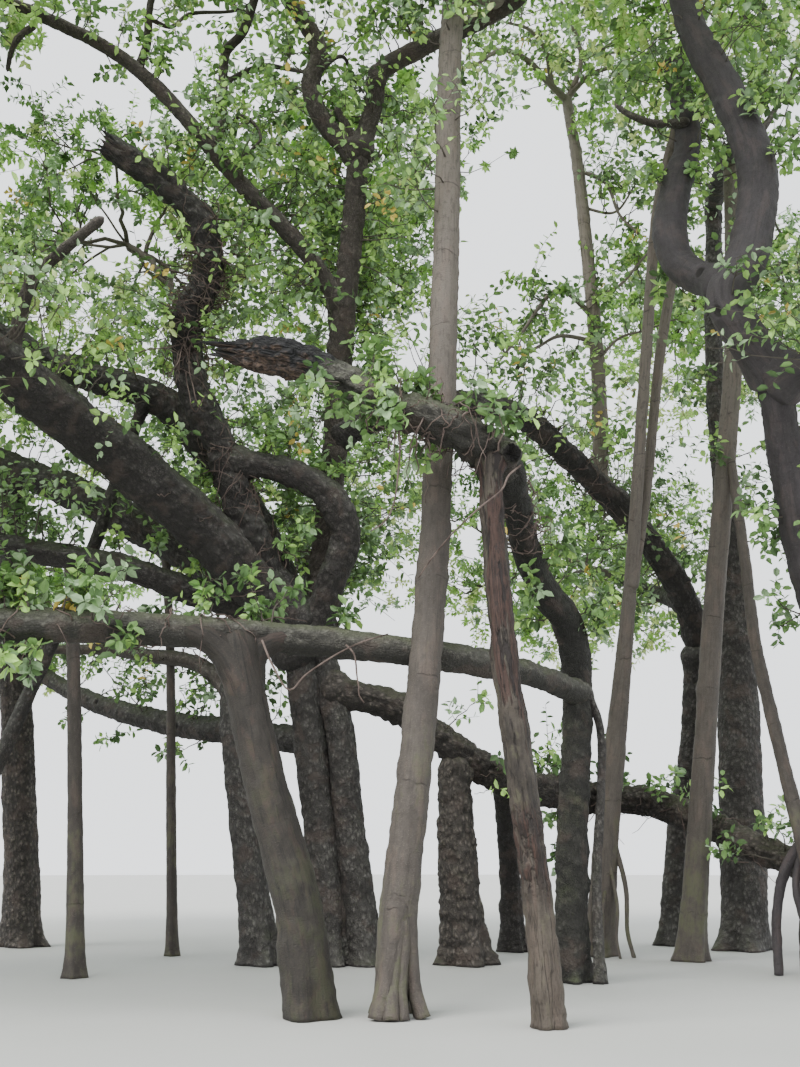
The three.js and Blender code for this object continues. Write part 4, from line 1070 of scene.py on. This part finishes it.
CENTRES = np.array([mass[2] for mass in MASSES], float)
HALVES = np.array([mass[3] for mass in MASSES], float)
LIMB_NUMBERS = {name: number for number, name in enumerate(limbs)}
BALLS = np.concatenate([places[::4] for places, _ in limbs.values()])
BALL_SIZES = np.concatenate([sizes[::4] for _, sizes in limbs.values()])
BALL_LIMBS = np.repeat(range(len(limbs)), [len(places[::4]) for places, _ in limbs.values()])
REACH_LOW = np.array(cad_low) - BOX_MARGIN
REACH_HIGH = np.array(cad_high) + BOX_MARGIN


def keeps_to_space(number, places):
    """Which places are in a mass's space and nearer to it than to any other mass."""
    depths = np.linalg.norm((places[:, None] - CENTRES) / HALVES, axis=2)
    own = depths[:, number].copy()
    depths[:, number] = np.inf
    others = depths.min(axis=1)
    inside = (own <= SPACE_EDGE) & (others > own + SPACE_MARGIN)
    towards_next = (own <= BRIDGE_EDGE) & (others < NEAR_MASS) & (others > own)
    return inside | towards_next


def touches_limb(starts, ends, reach, own_bough):
    """Which straight lines come too near to a limb other than their own bough."""
    line = ends - starts
    squared = np.maximum((line**2).sum(axis=1), 1e-9)[:, None]
    share = np.einsum("nkd,nd->nk", BALLS[None] - starts[:, None], line) / squared
    nearest = starts[:, None] + np.clip(share, 0, 1)[:, :, None] * line[:, None]
    apart = np.linalg.norm(nearest - BALLS[None], axis=2) - BALL_SIZES - LIMB_MARGIN - reach
    apart[:, BALL_LIMBS == own_bough] = 1
    return (apart < 0).any(axis=1)


def sky_shows(places):
    """How open the crown is towards the viewer at each place, from 0 to 1."""
    away = places - np.array(VIEWER)
    depth = away[:, 1] * math.cos(LOOK_UP) + away[:, 2] * math.sin(LOOK_UP)
    right = away[:, 0] / depth
    up = (away[:, 2] * math.cos(LOOK_UP) - away[:, 1] * math.sin(LOOK_UP)) / depth
    gaps = [((right - x) / wide) ** 2 + ((up - y) / tall) ** 2 for x, y, wide, tall in SKY_GAPS]
    return np.exp(-(np.min(gaps, axis=0) ** 2))


def bow(share, start, bend, end):
    """Places on a curve from start to end that leans towards the bend."""
    return (1 - share) ** 2 * start + 2 * share * (1 - share) * bend + share**2 * end


def bent_paths(starts, directions, ends, count, wander, stream):
    """Crooked lines that leave their starts in the given directions."""
    span = np.linalg.norm(ends - starts, axis=1)[:, None]
    bends = starts + directions * span * 0.4 + stream.normal(0, 0.06, starts.shape) * span
    share = np.linspace(0, 1, count)[None, :, None]
    paths = bow(share, starts[:, None], bends[:, None], ends[:, None])
    loose = np.sin(np.linspace(0, math.pi, count))[None, :, None]
    return paths + stream.normal(0, wander, paths.shape) * loose * span[:, None]


def tubes(paths, radii, sides):
    """Closed tubes round many lines at once."""
    many, count, _ = paths.shape
    along = unit(np.gradient(paths, axis=1))
    upright = np.abs(along[:, :1, 2:]) > 0.8
    side = unit(np.cross(along, np.where(upright, np.array([1.0, 0, 0]), np.array([0, 0, 1.0]))))
    across = np.cross(along, side)
    angle = np.arange(sides) * 2 * math.pi / sides
    ring = np.cos(angle)[:, None] * side[:, :, None] + np.sin(angle)[:, None] * across[:, :, None]
    points = (paths[:, :, None] + ring * radii[:, :, None, None]).reshape(-1, 3)
    index = np.arange(many * count * sides).reshape(many, count, sides)
    turned = np.roll(index, -1, axis=2)
    quads = np.stack([index[:, :-1], turned[:, :-1], turned[:, 1:], index[:, 1:]], axis=3).reshape(-1, 4)
    return points, [quads, index[:, 0, ::-1], index[:, -1]]


def taper(paths, thick, thin):
    """A radius for each point of each line."""
    return np.broadcast_to(np.linspace(thick, thin, paths.shape[1]), paths.shape[:2])


def join(parts):
    """Several sets of points and faces as one."""
    offset, points, groups = 0, [], []
    for own, faces in parts:
        points.append(own)
        groups.extend(face + offset for face in faces)
        offset += len(own)
    return np.concatenate(points), groups


def leaf_blades(paths, many, length, outline, faces, stream):
    """Leaves in spirals along shoots: points and faces of blades folded on the midrib."""
    shoots, count, _ = paths.shape
    share = np.linspace(BARE_SHARE, 1.0, many) + stream.uniform(-0.03, 0, (shoots, many))
    place = share * (count - 1)
    low = np.minimum(place.astype(int), count - 2)
    rows = np.arange(shoots)[:, None]
    roots = paths[rows, low] + (paths[rows, low + 1] - paths[rows, low]) * (place - low)[:, :, None]
    forward = unit(paths[:, -1] - paths[:, -2])[:, None]
    side = unit(np.cross(forward, stream.normal(0, 1, (shoots, 1, 3))))
    across = np.cross(forward, side)
    turn = (np.arange(many) * GOLDEN_ANGLE + stream.uniform(0, 6.3, (shoots, 1)))[:, :, None]
    radial = np.cos(turn) * side + np.sin(turn) * across
    lean = (share[:, :, None] - BARE_SHARE) * 0.9
    heading = unit(radial + forward * lean + np.array([0, 0, -0.12]) + stream.normal(0, 0.18, radial.shape))
    facing = unit(np.array([0, 0, 1.0]) + forward * 0.5 + stream.normal(0, 0.55, radial.shape))
    blade = unit(np.cross(facing, heading))
    top = np.cross(heading, blade)
    size = (length * stream.uniform(*LEAF_SIZES, (shoots, many)))[:, :, None]
    points = [roots + (heading * x + blade * y + top * z) * size for x, y, z in outline]
    first = np.arange(shoots * many)[:, None, None] * len(outline)
    return np.stack(points, axis=2).reshape(-1, 3), (first + np.array(faces)).reshape(-1, len(faces[0]))


def leaf_paint(name, colour):
    """A leathery leaf, a little darker and lighter from spray to spray."""
    paint = Paint(name, 0.5)
    paint.surface.inputs["Specular IOR Level"].default_value = 0.35
    place = paint.place()
    mottle = paint.cloud(place, 2.2, 2.0) * 0.6 + paint.cloud(place, 14, 2.0) * 0.4
    return paint.dress(paint.blend(mottle.above(0.25, 0.75), shade(colour, 0.6), shade(colour, 1.4)))


leaf_paints = [leaf_paint(name, colour) for name, colour, _ in LEAF_GREENS]
twig_paint = Paint("twig_bark", 0.85)
twig_grain = twig_paint.cloud(twig_paint.place(), 9, 3.0)
twig_colour = twig_paint.blend(twig_grain, (0.040, 0.033, 0.027, 1), (0.135, 0.115, 0.095, 1))
twig_bark = twig_paint.dress(twig_colour, twig_grain, 0.006)


def shown(name, points, groups, materials, replaced=(), smooth=True, chosen=None):
    """A joined piece of many small things."""
    mesh = new_mesh(name, points, groups, smooth)
    for material in materials:
        mesh.materials.append(material)
    if chosen is not None:
        mesh.polygons.foreach_set("material_index", chosen.astype(np.int32))
    set_out(name, mesh, replaced)


def deal_colours(lightness, stream):
    """A colour for each spray: more lightness, as painted light, draws the lighter greens more often."""
    steps = np.cumsum([share for _, _, share in LEAF_GREENS])
    drawn = np.clip(stream.uniform(0, 1, len(lightness)) * 0.6 + lightness * 0.4, 0, 0.984)
    chosen = np.searchsorted(steps, drawn)
    chosen[stream.uniform(0, 1, len(lightness)) < LEAF_GREENS[-1][2]] = len(LEAF_GREENS) - 1
    return np.minimum(chosen, len(LEAF_GREENS) - 1)


def mass_stem(start, direction, centre, stream):
    """A mass's stem leaves its bough's tip as the bough grows, and bends to the middle of the mass."""
    bend = start + direction * np.linalg.norm(centre - start) * STEM_BEND
    end = centre + (start - centre) * 0.05
    share = np.linspace(0, 1, STEM_POINTS)[:, None]
    stem = bow(share, start, bend, end)
    return stem + stream.normal(0, 0.03, stem.shape) * np.sin(share * math.pi)


def main_twigs(number, stem, centre, half, own_bough):
    """Where the main twigs of a mass start on its stem and where they end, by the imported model's rule."""
    random = seeded(number + 1)
    count = round(TWIGS_PER_METRE * half.mean() + 1e-9)
    starts, ends = [], []
    for k in range(count):
        rise = 1 - 2 * (k + 0.5) / count
        turn = k * GOLDEN_ANGLE + next(random) * 0.6
        ring = math.sqrt(1 - rise * rise)
        outward = np.array([ring * math.cos(turn), ring * math.sin(turn), rise])
        spot = (FIRST_TWIG + TWIG_STRETCH * next(random)) * (STEM_POINTS - 1)
        root = stem[int(spot)] + (stem[int(spot) + 1] - stem[int(spot)]) * (spot - int(spot))
        far = TWIG_REACH * (0.92 + 0.12 * next(random))
        while far > SHORTEST_REACH:
            tried = outward * far * half + centre
            clear = not touches_limb(root[None], tried[None], TWIG_WIDTH, own_bough)[0]
            if keeps_to_space(number, tried[None])[0] and clear:
                starts.append(root)
                ends.append(tried)
                break
            far -= REACH_STEP
    return np.array(starts), np.array(ends)


def finer_goals(number, many, inner, outer, centre, half, stream):
    """Where finer twigs grow to: all round a mass, in soft lobes, further out towards its neighbours."""
    order = np.arange(many)
    rise = 1 - 2 * (order + 0.5) / many
    turn = order * GOLDEN_ANGLE + stream.uniform(0, 0.6, many)
    ring = np.sqrt(1 - rise**2)
    outward = np.stack([ring * np.cos(turn), ring * np.sin(turn), rise], axis=1)
    lobes = np.clip(0.88 + 0.42 * lumpy(outward, 1.4, 2, number * 7.3), 0.58, 1.06)
    spread = (inner + (outer - inner) * stream.uniform(0, 1, many) ** 0.55) * lobes
    between = np.linalg.norm((centre + outward[:, None] * half * 1.2 - CENTRES) / HALVES, axis=2)
    between[:, number] = np.inf
    spread = np.where(between.min(axis=1) < 1.35, spread * 1.22, spread)
    goals = centre + outward * spread[:, None] * half
    kept = keeps_to_space(number, goals) & (stream.uniform(0, 1, many) > sky_shows(goals))
    return np.clip(goals[kept], REACH_LOW, REACH_HIGH)


def best_nodes(goals, nodes, headings):
    """For each goal, the place on the twigs so far that is nearest and points to it, and its heading."""
    apart = goals[:, None] - nodes[None]
    distance = np.linalg.norm(apart, axis=2)
    ahead = np.einsum("nkd,kd->nk", apart, headings) / distance
    nearest = np.argmin(distance * (1.5 - 0.5 * ahead), axis=1)
    return nodes[nearest], headings[nearest]


for number, (name, bough_name, centre, half) in enumerate(MASSES):
    centre, half = np.array(centre, float), np.array(half, float)
    own_bough = LIMB_NUMBERS[bough_name]
    stream = np.random.default_rng(400 + number)
    tips, widths = limbs[bough_name]
    direction = unit(tips[-1] - tips[-2])
    stem = mass_stem(tips[-1], direction, centre, stream)
    starts, ends = main_twigs(number, stem, centre, half, own_bough)
    lead = unit(unit(ends - starts) + direction * 0.5)
    main = bent_paths(starts, lead, ends, 9, 0.022, stream)
    thick = min(widths[-1] * 0.92, STEM_RADII[0])
    stem_radii = (thick, max(STEM_RADII[1], thick * 0.6), STEM_RADII[2])
    stem_radii = np.interp(np.linspace(0, 1, STEM_POINTS), (0, 0.3, 1), stem_radii)
    parts = [tubes(stem[None], stem_radii[None], 10), tubes(main, taper(main, *MAIN_TWIG), 7)]
    nodes = np.concatenate([stem[4:], main[:, 2:].reshape(-1, 3)])
    onward = unit(np.gradient(stem, axis=0))[4:], unit(np.gradient(main, axis=1))[:, 2:].reshape(-1, 3)
    headings = np.concatenate(onward)
    for many, inner, outer, width, steps, sides in FINER:
        goals = finer_goals(number, many, inner, outer, centre, half, stream)
        sources, leaving = best_nodes(goals, nodes, headings)
        lead = unit(leaving + unit(goals - sources))
        clear = ~touches_limb(sources, goals, 0.0, own_bough)
        paths = bent_paths(sources[clear], lead[clear], goals[clear], steps, 0.03, stream)
        parts.append(tubes(paths, taper(paths, width, width * 0.4), sides))
        fresh_nodes = paths[:, 1:].reshape(-1, 3)
        fresh_headings = unit(np.gradient(paths, axis=1))[:, 1:].reshape(-1, 3)
        nodes = np.concatenate([nodes, fresh_nodes]) if many < FEW else fresh_nodes
        headings = np.concatenate([headings, fresh_headings]) if many < FEW else fresh_headings
    points, groups = join(parts)
    shown(name + "_twigs", points, groups, [twig_bark], (name,))
    points, faces = leaf_blades(paths, LEAVES_ON_SHOOT, LEAF_LENGTH, KITE_LEAF, KITE_FACES, stream)
    # Painted light: outer and low sprays take lighter greens, top sprays darker ones as painted shade.
    outer = np.linalg.norm((paths[:, -1] - centre) / half, axis=1)
    above = (paths[:, -1, 2] - centre[2]) / half[2]
    lightness = 0.45 + outer * 0.3 - above * 0.55 - np.maximum(above, 0) * 0.7
    colours = deal_colours(np.clip(lightness, 0, 1), stream)
    chosen = np.repeat(colours, LEAVES_ON_SHOOT * len(KITE_FACES))
    shown(name + "_leaves", points, [faces], leaf_paints, (name,), False, chosen)

# Leafy shoots also spring straight from the bark of the boughs, small ones low down and long ones that
# fork in the crown. Each entry: limb, first and last share of its length, how many shoots, how long.
SHOOTS = (
    ("level_bough", 0.36, 0.7, 64, 0.42), ("level_bough", 0.74, 1.0, 22, 1.0),
    ("arch_bough", 0.12, 0.72, 20, 0.45), ("arch_leg", 0.45, 0.98, 20, 0.45),
    ("great_bough", 0.2, 0.6, 14, 0.6), ("great_bough", 0.6, 1.0, 34, 1.5),
    ("broken_bough", 0.35, 0.97, 26, 1.0), ("dark_left_bough", 0.25, 1.0, 28, 1.3),
    ("middle_left_bough", 0.2, 1.0, 34, 1.3), ("lower_left_bough", 0.2, 0.5, 10, 0.5),
    ("lower_left_bough", 0.5, 1.0, 26, 1.2), ("far_left_bough", 0.05, 0.5, 44, 1.1),
    ("far_left_bough", 0.55, 1.0, 14, 0.8), ("rising_left_bough", 0.1, 1.0, 20, 1.2),
    ("high_stem", 0.2, 1.0, 84, 1.2), ("high_left_bough", 0.1, 1.0, 24, 1.2),
    ("high_right_bough", 0.1, 1.0, 48, 1.4), ("crown_back_bough", 0.1, 1.0, 40, 1.3),
    ("hook_bough", 0.3, 0.9, 8, 0.5), ("low_bough", 0.15, 0.9, 26, 0.6),
    ("back_left_bough", 0.15, 1.0, 26, 0.9), ("back_bough", 0.15, 1.0, 50, 1.2),
    ("cross_bough", 0.04, 0.9, 64, 1.3), ("back_right_bough", 0.1, 1.0, 24, 1.2),
    ("winding_bough", 0.15, 0.7, 8, 0.5), ("winding_bough", 0.7, 1.0, 12, 1.1),
    ("right_inner_bough", 0.2, 0.6, 7, 0.5), ("right_inner_bough", 0.6, 1.0, 16, 1.2),
    ("tall_pale_pole", 0.6, 0.96, 20, 0.9), ("right_outer_bough", 0.1, 1.0, 28, 1.2),
    ("right_side_bough", 0.1, 1.0, 26, 1.5), ("right_back_bough", 0.05, 1.0, 46, 1.5),
    ("right_trunk", 0.55, 0.98, 10, 0.5), ("grey_pole", 0.55, 1.0, 10, 0.7),
    ("broad_pillar", 0.5, 1.0, 16, 0.9), ("dark_crooks", 0.0, 1.0, 60, 0.6),
    ("pale_crooks", 0.3, 1.0, 120, 0.9),
)
SHOOT_ROOT = 0.85  # a shoot starts this far out from the limb's middle, for its radius
SHOOT_LENGTHS = (0.5, 1.3)
STALK_POINTS = 7
STALK_RADII = (0.014, 0.005)
SIDE_SHOOTS = 6
SIDE_SHOOT_SPANS = (0.2, 0.7)
SIDE_SHOOT_RADII = (0.006, 0.003)
LEAVES_ON_SIDE_SHOOT = 6
GAP_KEPT = 0.85  # the share of the sky's gaps that shoots leave open
# These leaves are seen from near by, so their outline has more points than the crown's.
OVAL_LEAF = (
    (0, 0, 0), (0.26, 0.26, 0.07), (0.66, 0.28, 0.04), (1, 0, -0.10), (0.66, -0.28, 0.04),
    (0.26, -0.26, 0.07),
)
OVAL_FACES = ((0, 3, 2, 1), (0, 5, 4, 3))
stream = np.random.default_rng(77)
stalks, side_shoots = [], []
for limb_name, first, last, many, length in SHOOTS:
    axis, radius = limbs[limb_name]
    ring = (stream.uniform(first, last, many) * (len(axis) - 2)).astype(int)
    along = unit(axis[ring + 1] - axis[ring])
    loose = stream.normal(0, 1, (many, 3)) + np.array([0, 0, 0.7])
    outward = unit(loose - along * (loose * along).sum(axis=1)[:, None])
    starts = axis[ring] + outward * radius[ring][:, None] * SHOOT_ROOT
    reach = length * stream.uniform(*SHOOT_LENGTHS, (many, 1))
    heading = outward + along * stream.uniform(-0.7, 0.7, (many, 1)) + np.array([0, 0, 0.25])
    ends = starts + unit(heading) * reach
    kept = np.all((ends > REACH_LOW) & (ends < REACH_HIGH), axis=1)
    kept &= ~touches_limb(starts, ends, 0.0, LIMB_NUMBERS[limb_name])
    kept &= stream.uniform(0, 1, many) > sky_shows(ends) * GAP_KEPT
    stalk = bent_paths(starts[kept], outward[kept], ends[kept], STALK_POINTS, 0.035, stream)
    many = len(stalk)
    joint = stream.integers(2, STALK_POINTS, (many, SIDE_SHOOTS))
    joints = stalk[np.arange(many)[:, None], joint].reshape(-1, 3)
    forward = np.repeat(unit(stalk[:, -1] - stalk[:, 2]), SIDE_SHOOTS, axis=0)
    aside = unit(stream.normal(0, 0.8, forward.shape) + forward * 0.8 + np.array([0, 0, 0.1]))
    spans = np.repeat(reach[kept], SIDE_SHOOTS, axis=0) * stream.uniform(0.35, 0.7, (len(aside), 1))
    tips = np.clip(joints + aside * np.clip(spans, *SIDE_SHOOT_SPANS), REACH_LOW, REACH_HIGH)
    stalks.append(stalk)
    side_shoots.append(bent_paths(joints, aside, tips, 3, 0.04, stream))
stalks, side_shoots = np.concatenate(stalks), np.concatenate(side_shoots)
points, groups = join([
    tubes(stalks, taper(stalks, *STALK_RADII), 4),
    tubes(side_shoots, taper(side_shoots, *SIDE_SHOOT_RADII), 3),
])
shown("bough_shoots_twigs", points, groups, [twig_bark])
points, faces = leaf_blades(side_shoots, LEAVES_ON_SIDE_SHOOT, LEAF_LENGTH, OVAL_LEAF, OVAL_FACES, stream)
# Painted light: higher shoots take lighter greens, for sun shining through their leaves.
lightness = stream.uniform(-0.5, 0.4, len(side_shoots)) + np.clip((side_shoots[:, -1, 2] - 6) / 8, 0, 0.45)
chosen = np.repeat(deal_colours(lightness, stream), LEAVES_ON_SIDE_SHOOT * len(OVAL_FACES))
shown("bough_shoots_leaves", points, [faces], leaf_paints, (), False, chosen)

# Wiry young aerial roots mat the old boughs. They run round the bark, stand off it in loops and hang below
# it, and a few long ones swing free from bough to bough. Each entry: limb, first and last share of its
# length, how many roots, how far each runs along it, and how far it stands off.
ROOTLETS = (
    ("broken_bough", 0.5, 0.82, 120, 0.8, 0.2), ("broken_bough", 0.1, 0.38, 80, 0.8, 0.16),
    ("arch_bough", 0.16, 0.5, 80, 0.4, 0.18), ("arch_leg", 0.8, 0.93, 40, 0.3, 0.14),
    ("broken_bough", 0.58, 0.74, 110, 0.35, 0.34), ("cross_bough", 0.36, 0.62, 50, 0.8, 0.16),
    ("level_bough", 0.42, 0.66, 40, 0.7, 0.1), ("great_bough", 0.05, 0.4, 10, 0.8, 0.06),
    ("low_bough", 0.3, 0.8, 30, 0.9, 0.08), ("tall_pale_pole", 0.39, 0.45, 20, 0.4, 0.1),
)
SWINGING = (
    ((2.19, -6.2, 5.9), (2.02, -6.38, 5.7), (1.94, -6.45, 5.52), (1.68, -6.5, 5.29), (1.38, -6.4, 5.02),
     (1.17, -6.2, 4.81), (1.01, -5.9, 4.64)),
    ((0.78, -6.4, 6.3), (0.8, -6.5, 6.0), (0.78, -6.5, 5.71), (0.76, -6.5, 5.5), (0.72, -6.5, 5.3),
     (0.63, -6.4, 5.16), (0.47, -6.2, 5.11)),
    ((-0.74, -6, 3.9), (-0.6, -6.1, 3.6), (-0.4, -6.15, 3.32), (-0.24, -6.1, 3.49), (0.06, -6, 3.72),
     (0.35, -5.8, 3.91), (0.66, -5.5, 4.07)),
    ((0.18, -5.6, 3.92), (0.24, -5.7, 3.85), (0.29, -5.8, 3.75), (0.32, -5.8, 3.5), (0.34, -5.8, 3.4),
     (0.34, -5.8, 3.32), (0.4, -5.8, 3.23)),
    ((-2.71, -1.7, 9.73), (-2.72, -1.95, 9.45), (-2.73, -2.1, 9.14), (-2.8, -2.12, 9),
     (-2.87, -2.1, 8.87), (-2.95, -1.95, 8.8), (-3.02, -1.8, 8.76)),
    ((-2.69, -1.8, 9.63), (-2.9, -2.1, 9.4), (-3.14, -2.3, 9.27), (-3.3, -2.6, 9.05), (-3.5, -2.8, 8.91),
     (-3.7, -2.9, 8.8), (-3.91, -2.9, 8.73)),
    ((-2.64, -1.7, 9.64), (-2.6, -1.9, 9.3), (-2.55, -2, 8.97), (-2.5, -1.97, 8.8), (-2.45, -1.9, 8.58),
     (-2.4, -1.7, 8.5), (-2.36, -1.5, 8.54)),
    ((-2.35, -1.7, 8.75), (-2.4, -1.85, 8.5), (-2.44, -1.9, 8.37), (-2.5, -1.97, 8.42), (-2.53, -2, 8.59),
     (-2.6, -1.96, 8.85), (-2.64, -1.9, 9.06)),
)
ROOTLET_POINTS = 9
ROOTLET_RADII = (0.010, 0.004)
SWINGING_RADII = (0.013, 0.008)
HANGING_SHARE = 0.35
LONGEST_HANG = 0.6
ROUND_TURN = 2.6
BARK_CLEARANCE = 0.012
root_paint = Paint("rootlet_bark", 0.8)
root_grain = root_paint.cloud(root_paint.place(), 6, 3.0).above(0.3, 0.7)
root_colour = root_paint.blend(root_grain, (0.050, 0.032, 0.027, 1), (0.165, 0.122, 0.105, 1))
rootlet_bark = root_paint.dress(root_colour)
share = np.linspace(0, 1, ROOTLET_POINTS)
parts = []
for limb_name, first, last, many, run, stand_off in ROOTLETS:
    axis, radius = limbs[limb_name]
    spacing = np.linalg.norm(axis[1] - axis[0])
    source = stream.uniform(first, last, (many, 1)) * (len(axis) - 1)
    ring = source + share * stream.uniform(-run, run, (many, 1)) / spacing
    ring = np.clip(ring, 0, len(axis) - 1.01)
    low = ring.astype(int)
    middle = axis[low] + (axis[low + 1] - axis[low]) * (ring - low)[:, :, None]
    along = unit(axis[low + 1] - axis[low])
    side = unit(np.cross(along, np.array([0.31, 0.2, 0.93])))
    turn = stream.uniform(0, 2 * math.pi, (many, 1))
    turn = (turn + share * stream.uniform(-ROUND_TURN, ROUND_TURN, (many, 1)))[:, :, None]
    loops = stand_off * np.sin(math.pi * share) * stream.uniform(0.1, 1.3, (many, 1)) ** 2
    off = radius[low] * 1.04 + BARK_CLEARANCE + loops
    paths = middle + (np.cos(turn) * side + np.sin(turn) * np.cross(along, side)) * off[:, :, None]
    paths = paths + stream.normal(0, 0.016, paths.shape)
    hangs = stream.uniform(0, 1, (many, 1)) < HANGING_SHARE
    paths[:, :, 2] -= stream.uniform(0.1, LONGEST_HANG, (many, 1)) * hangs * share**2
    parts.append(tubes(paths, taper(paths, *ROOTLET_RADII), 4))
for points in SWINGING:
    swing, _ = even_path(points, 0.05)
    parts.append(tubes(swing[None], taper(swing[None], *SWINGING_RADII), 5))
points, groups = join(parts)
shown("aerial_rootlets", points, groups, [rootlet_bark])
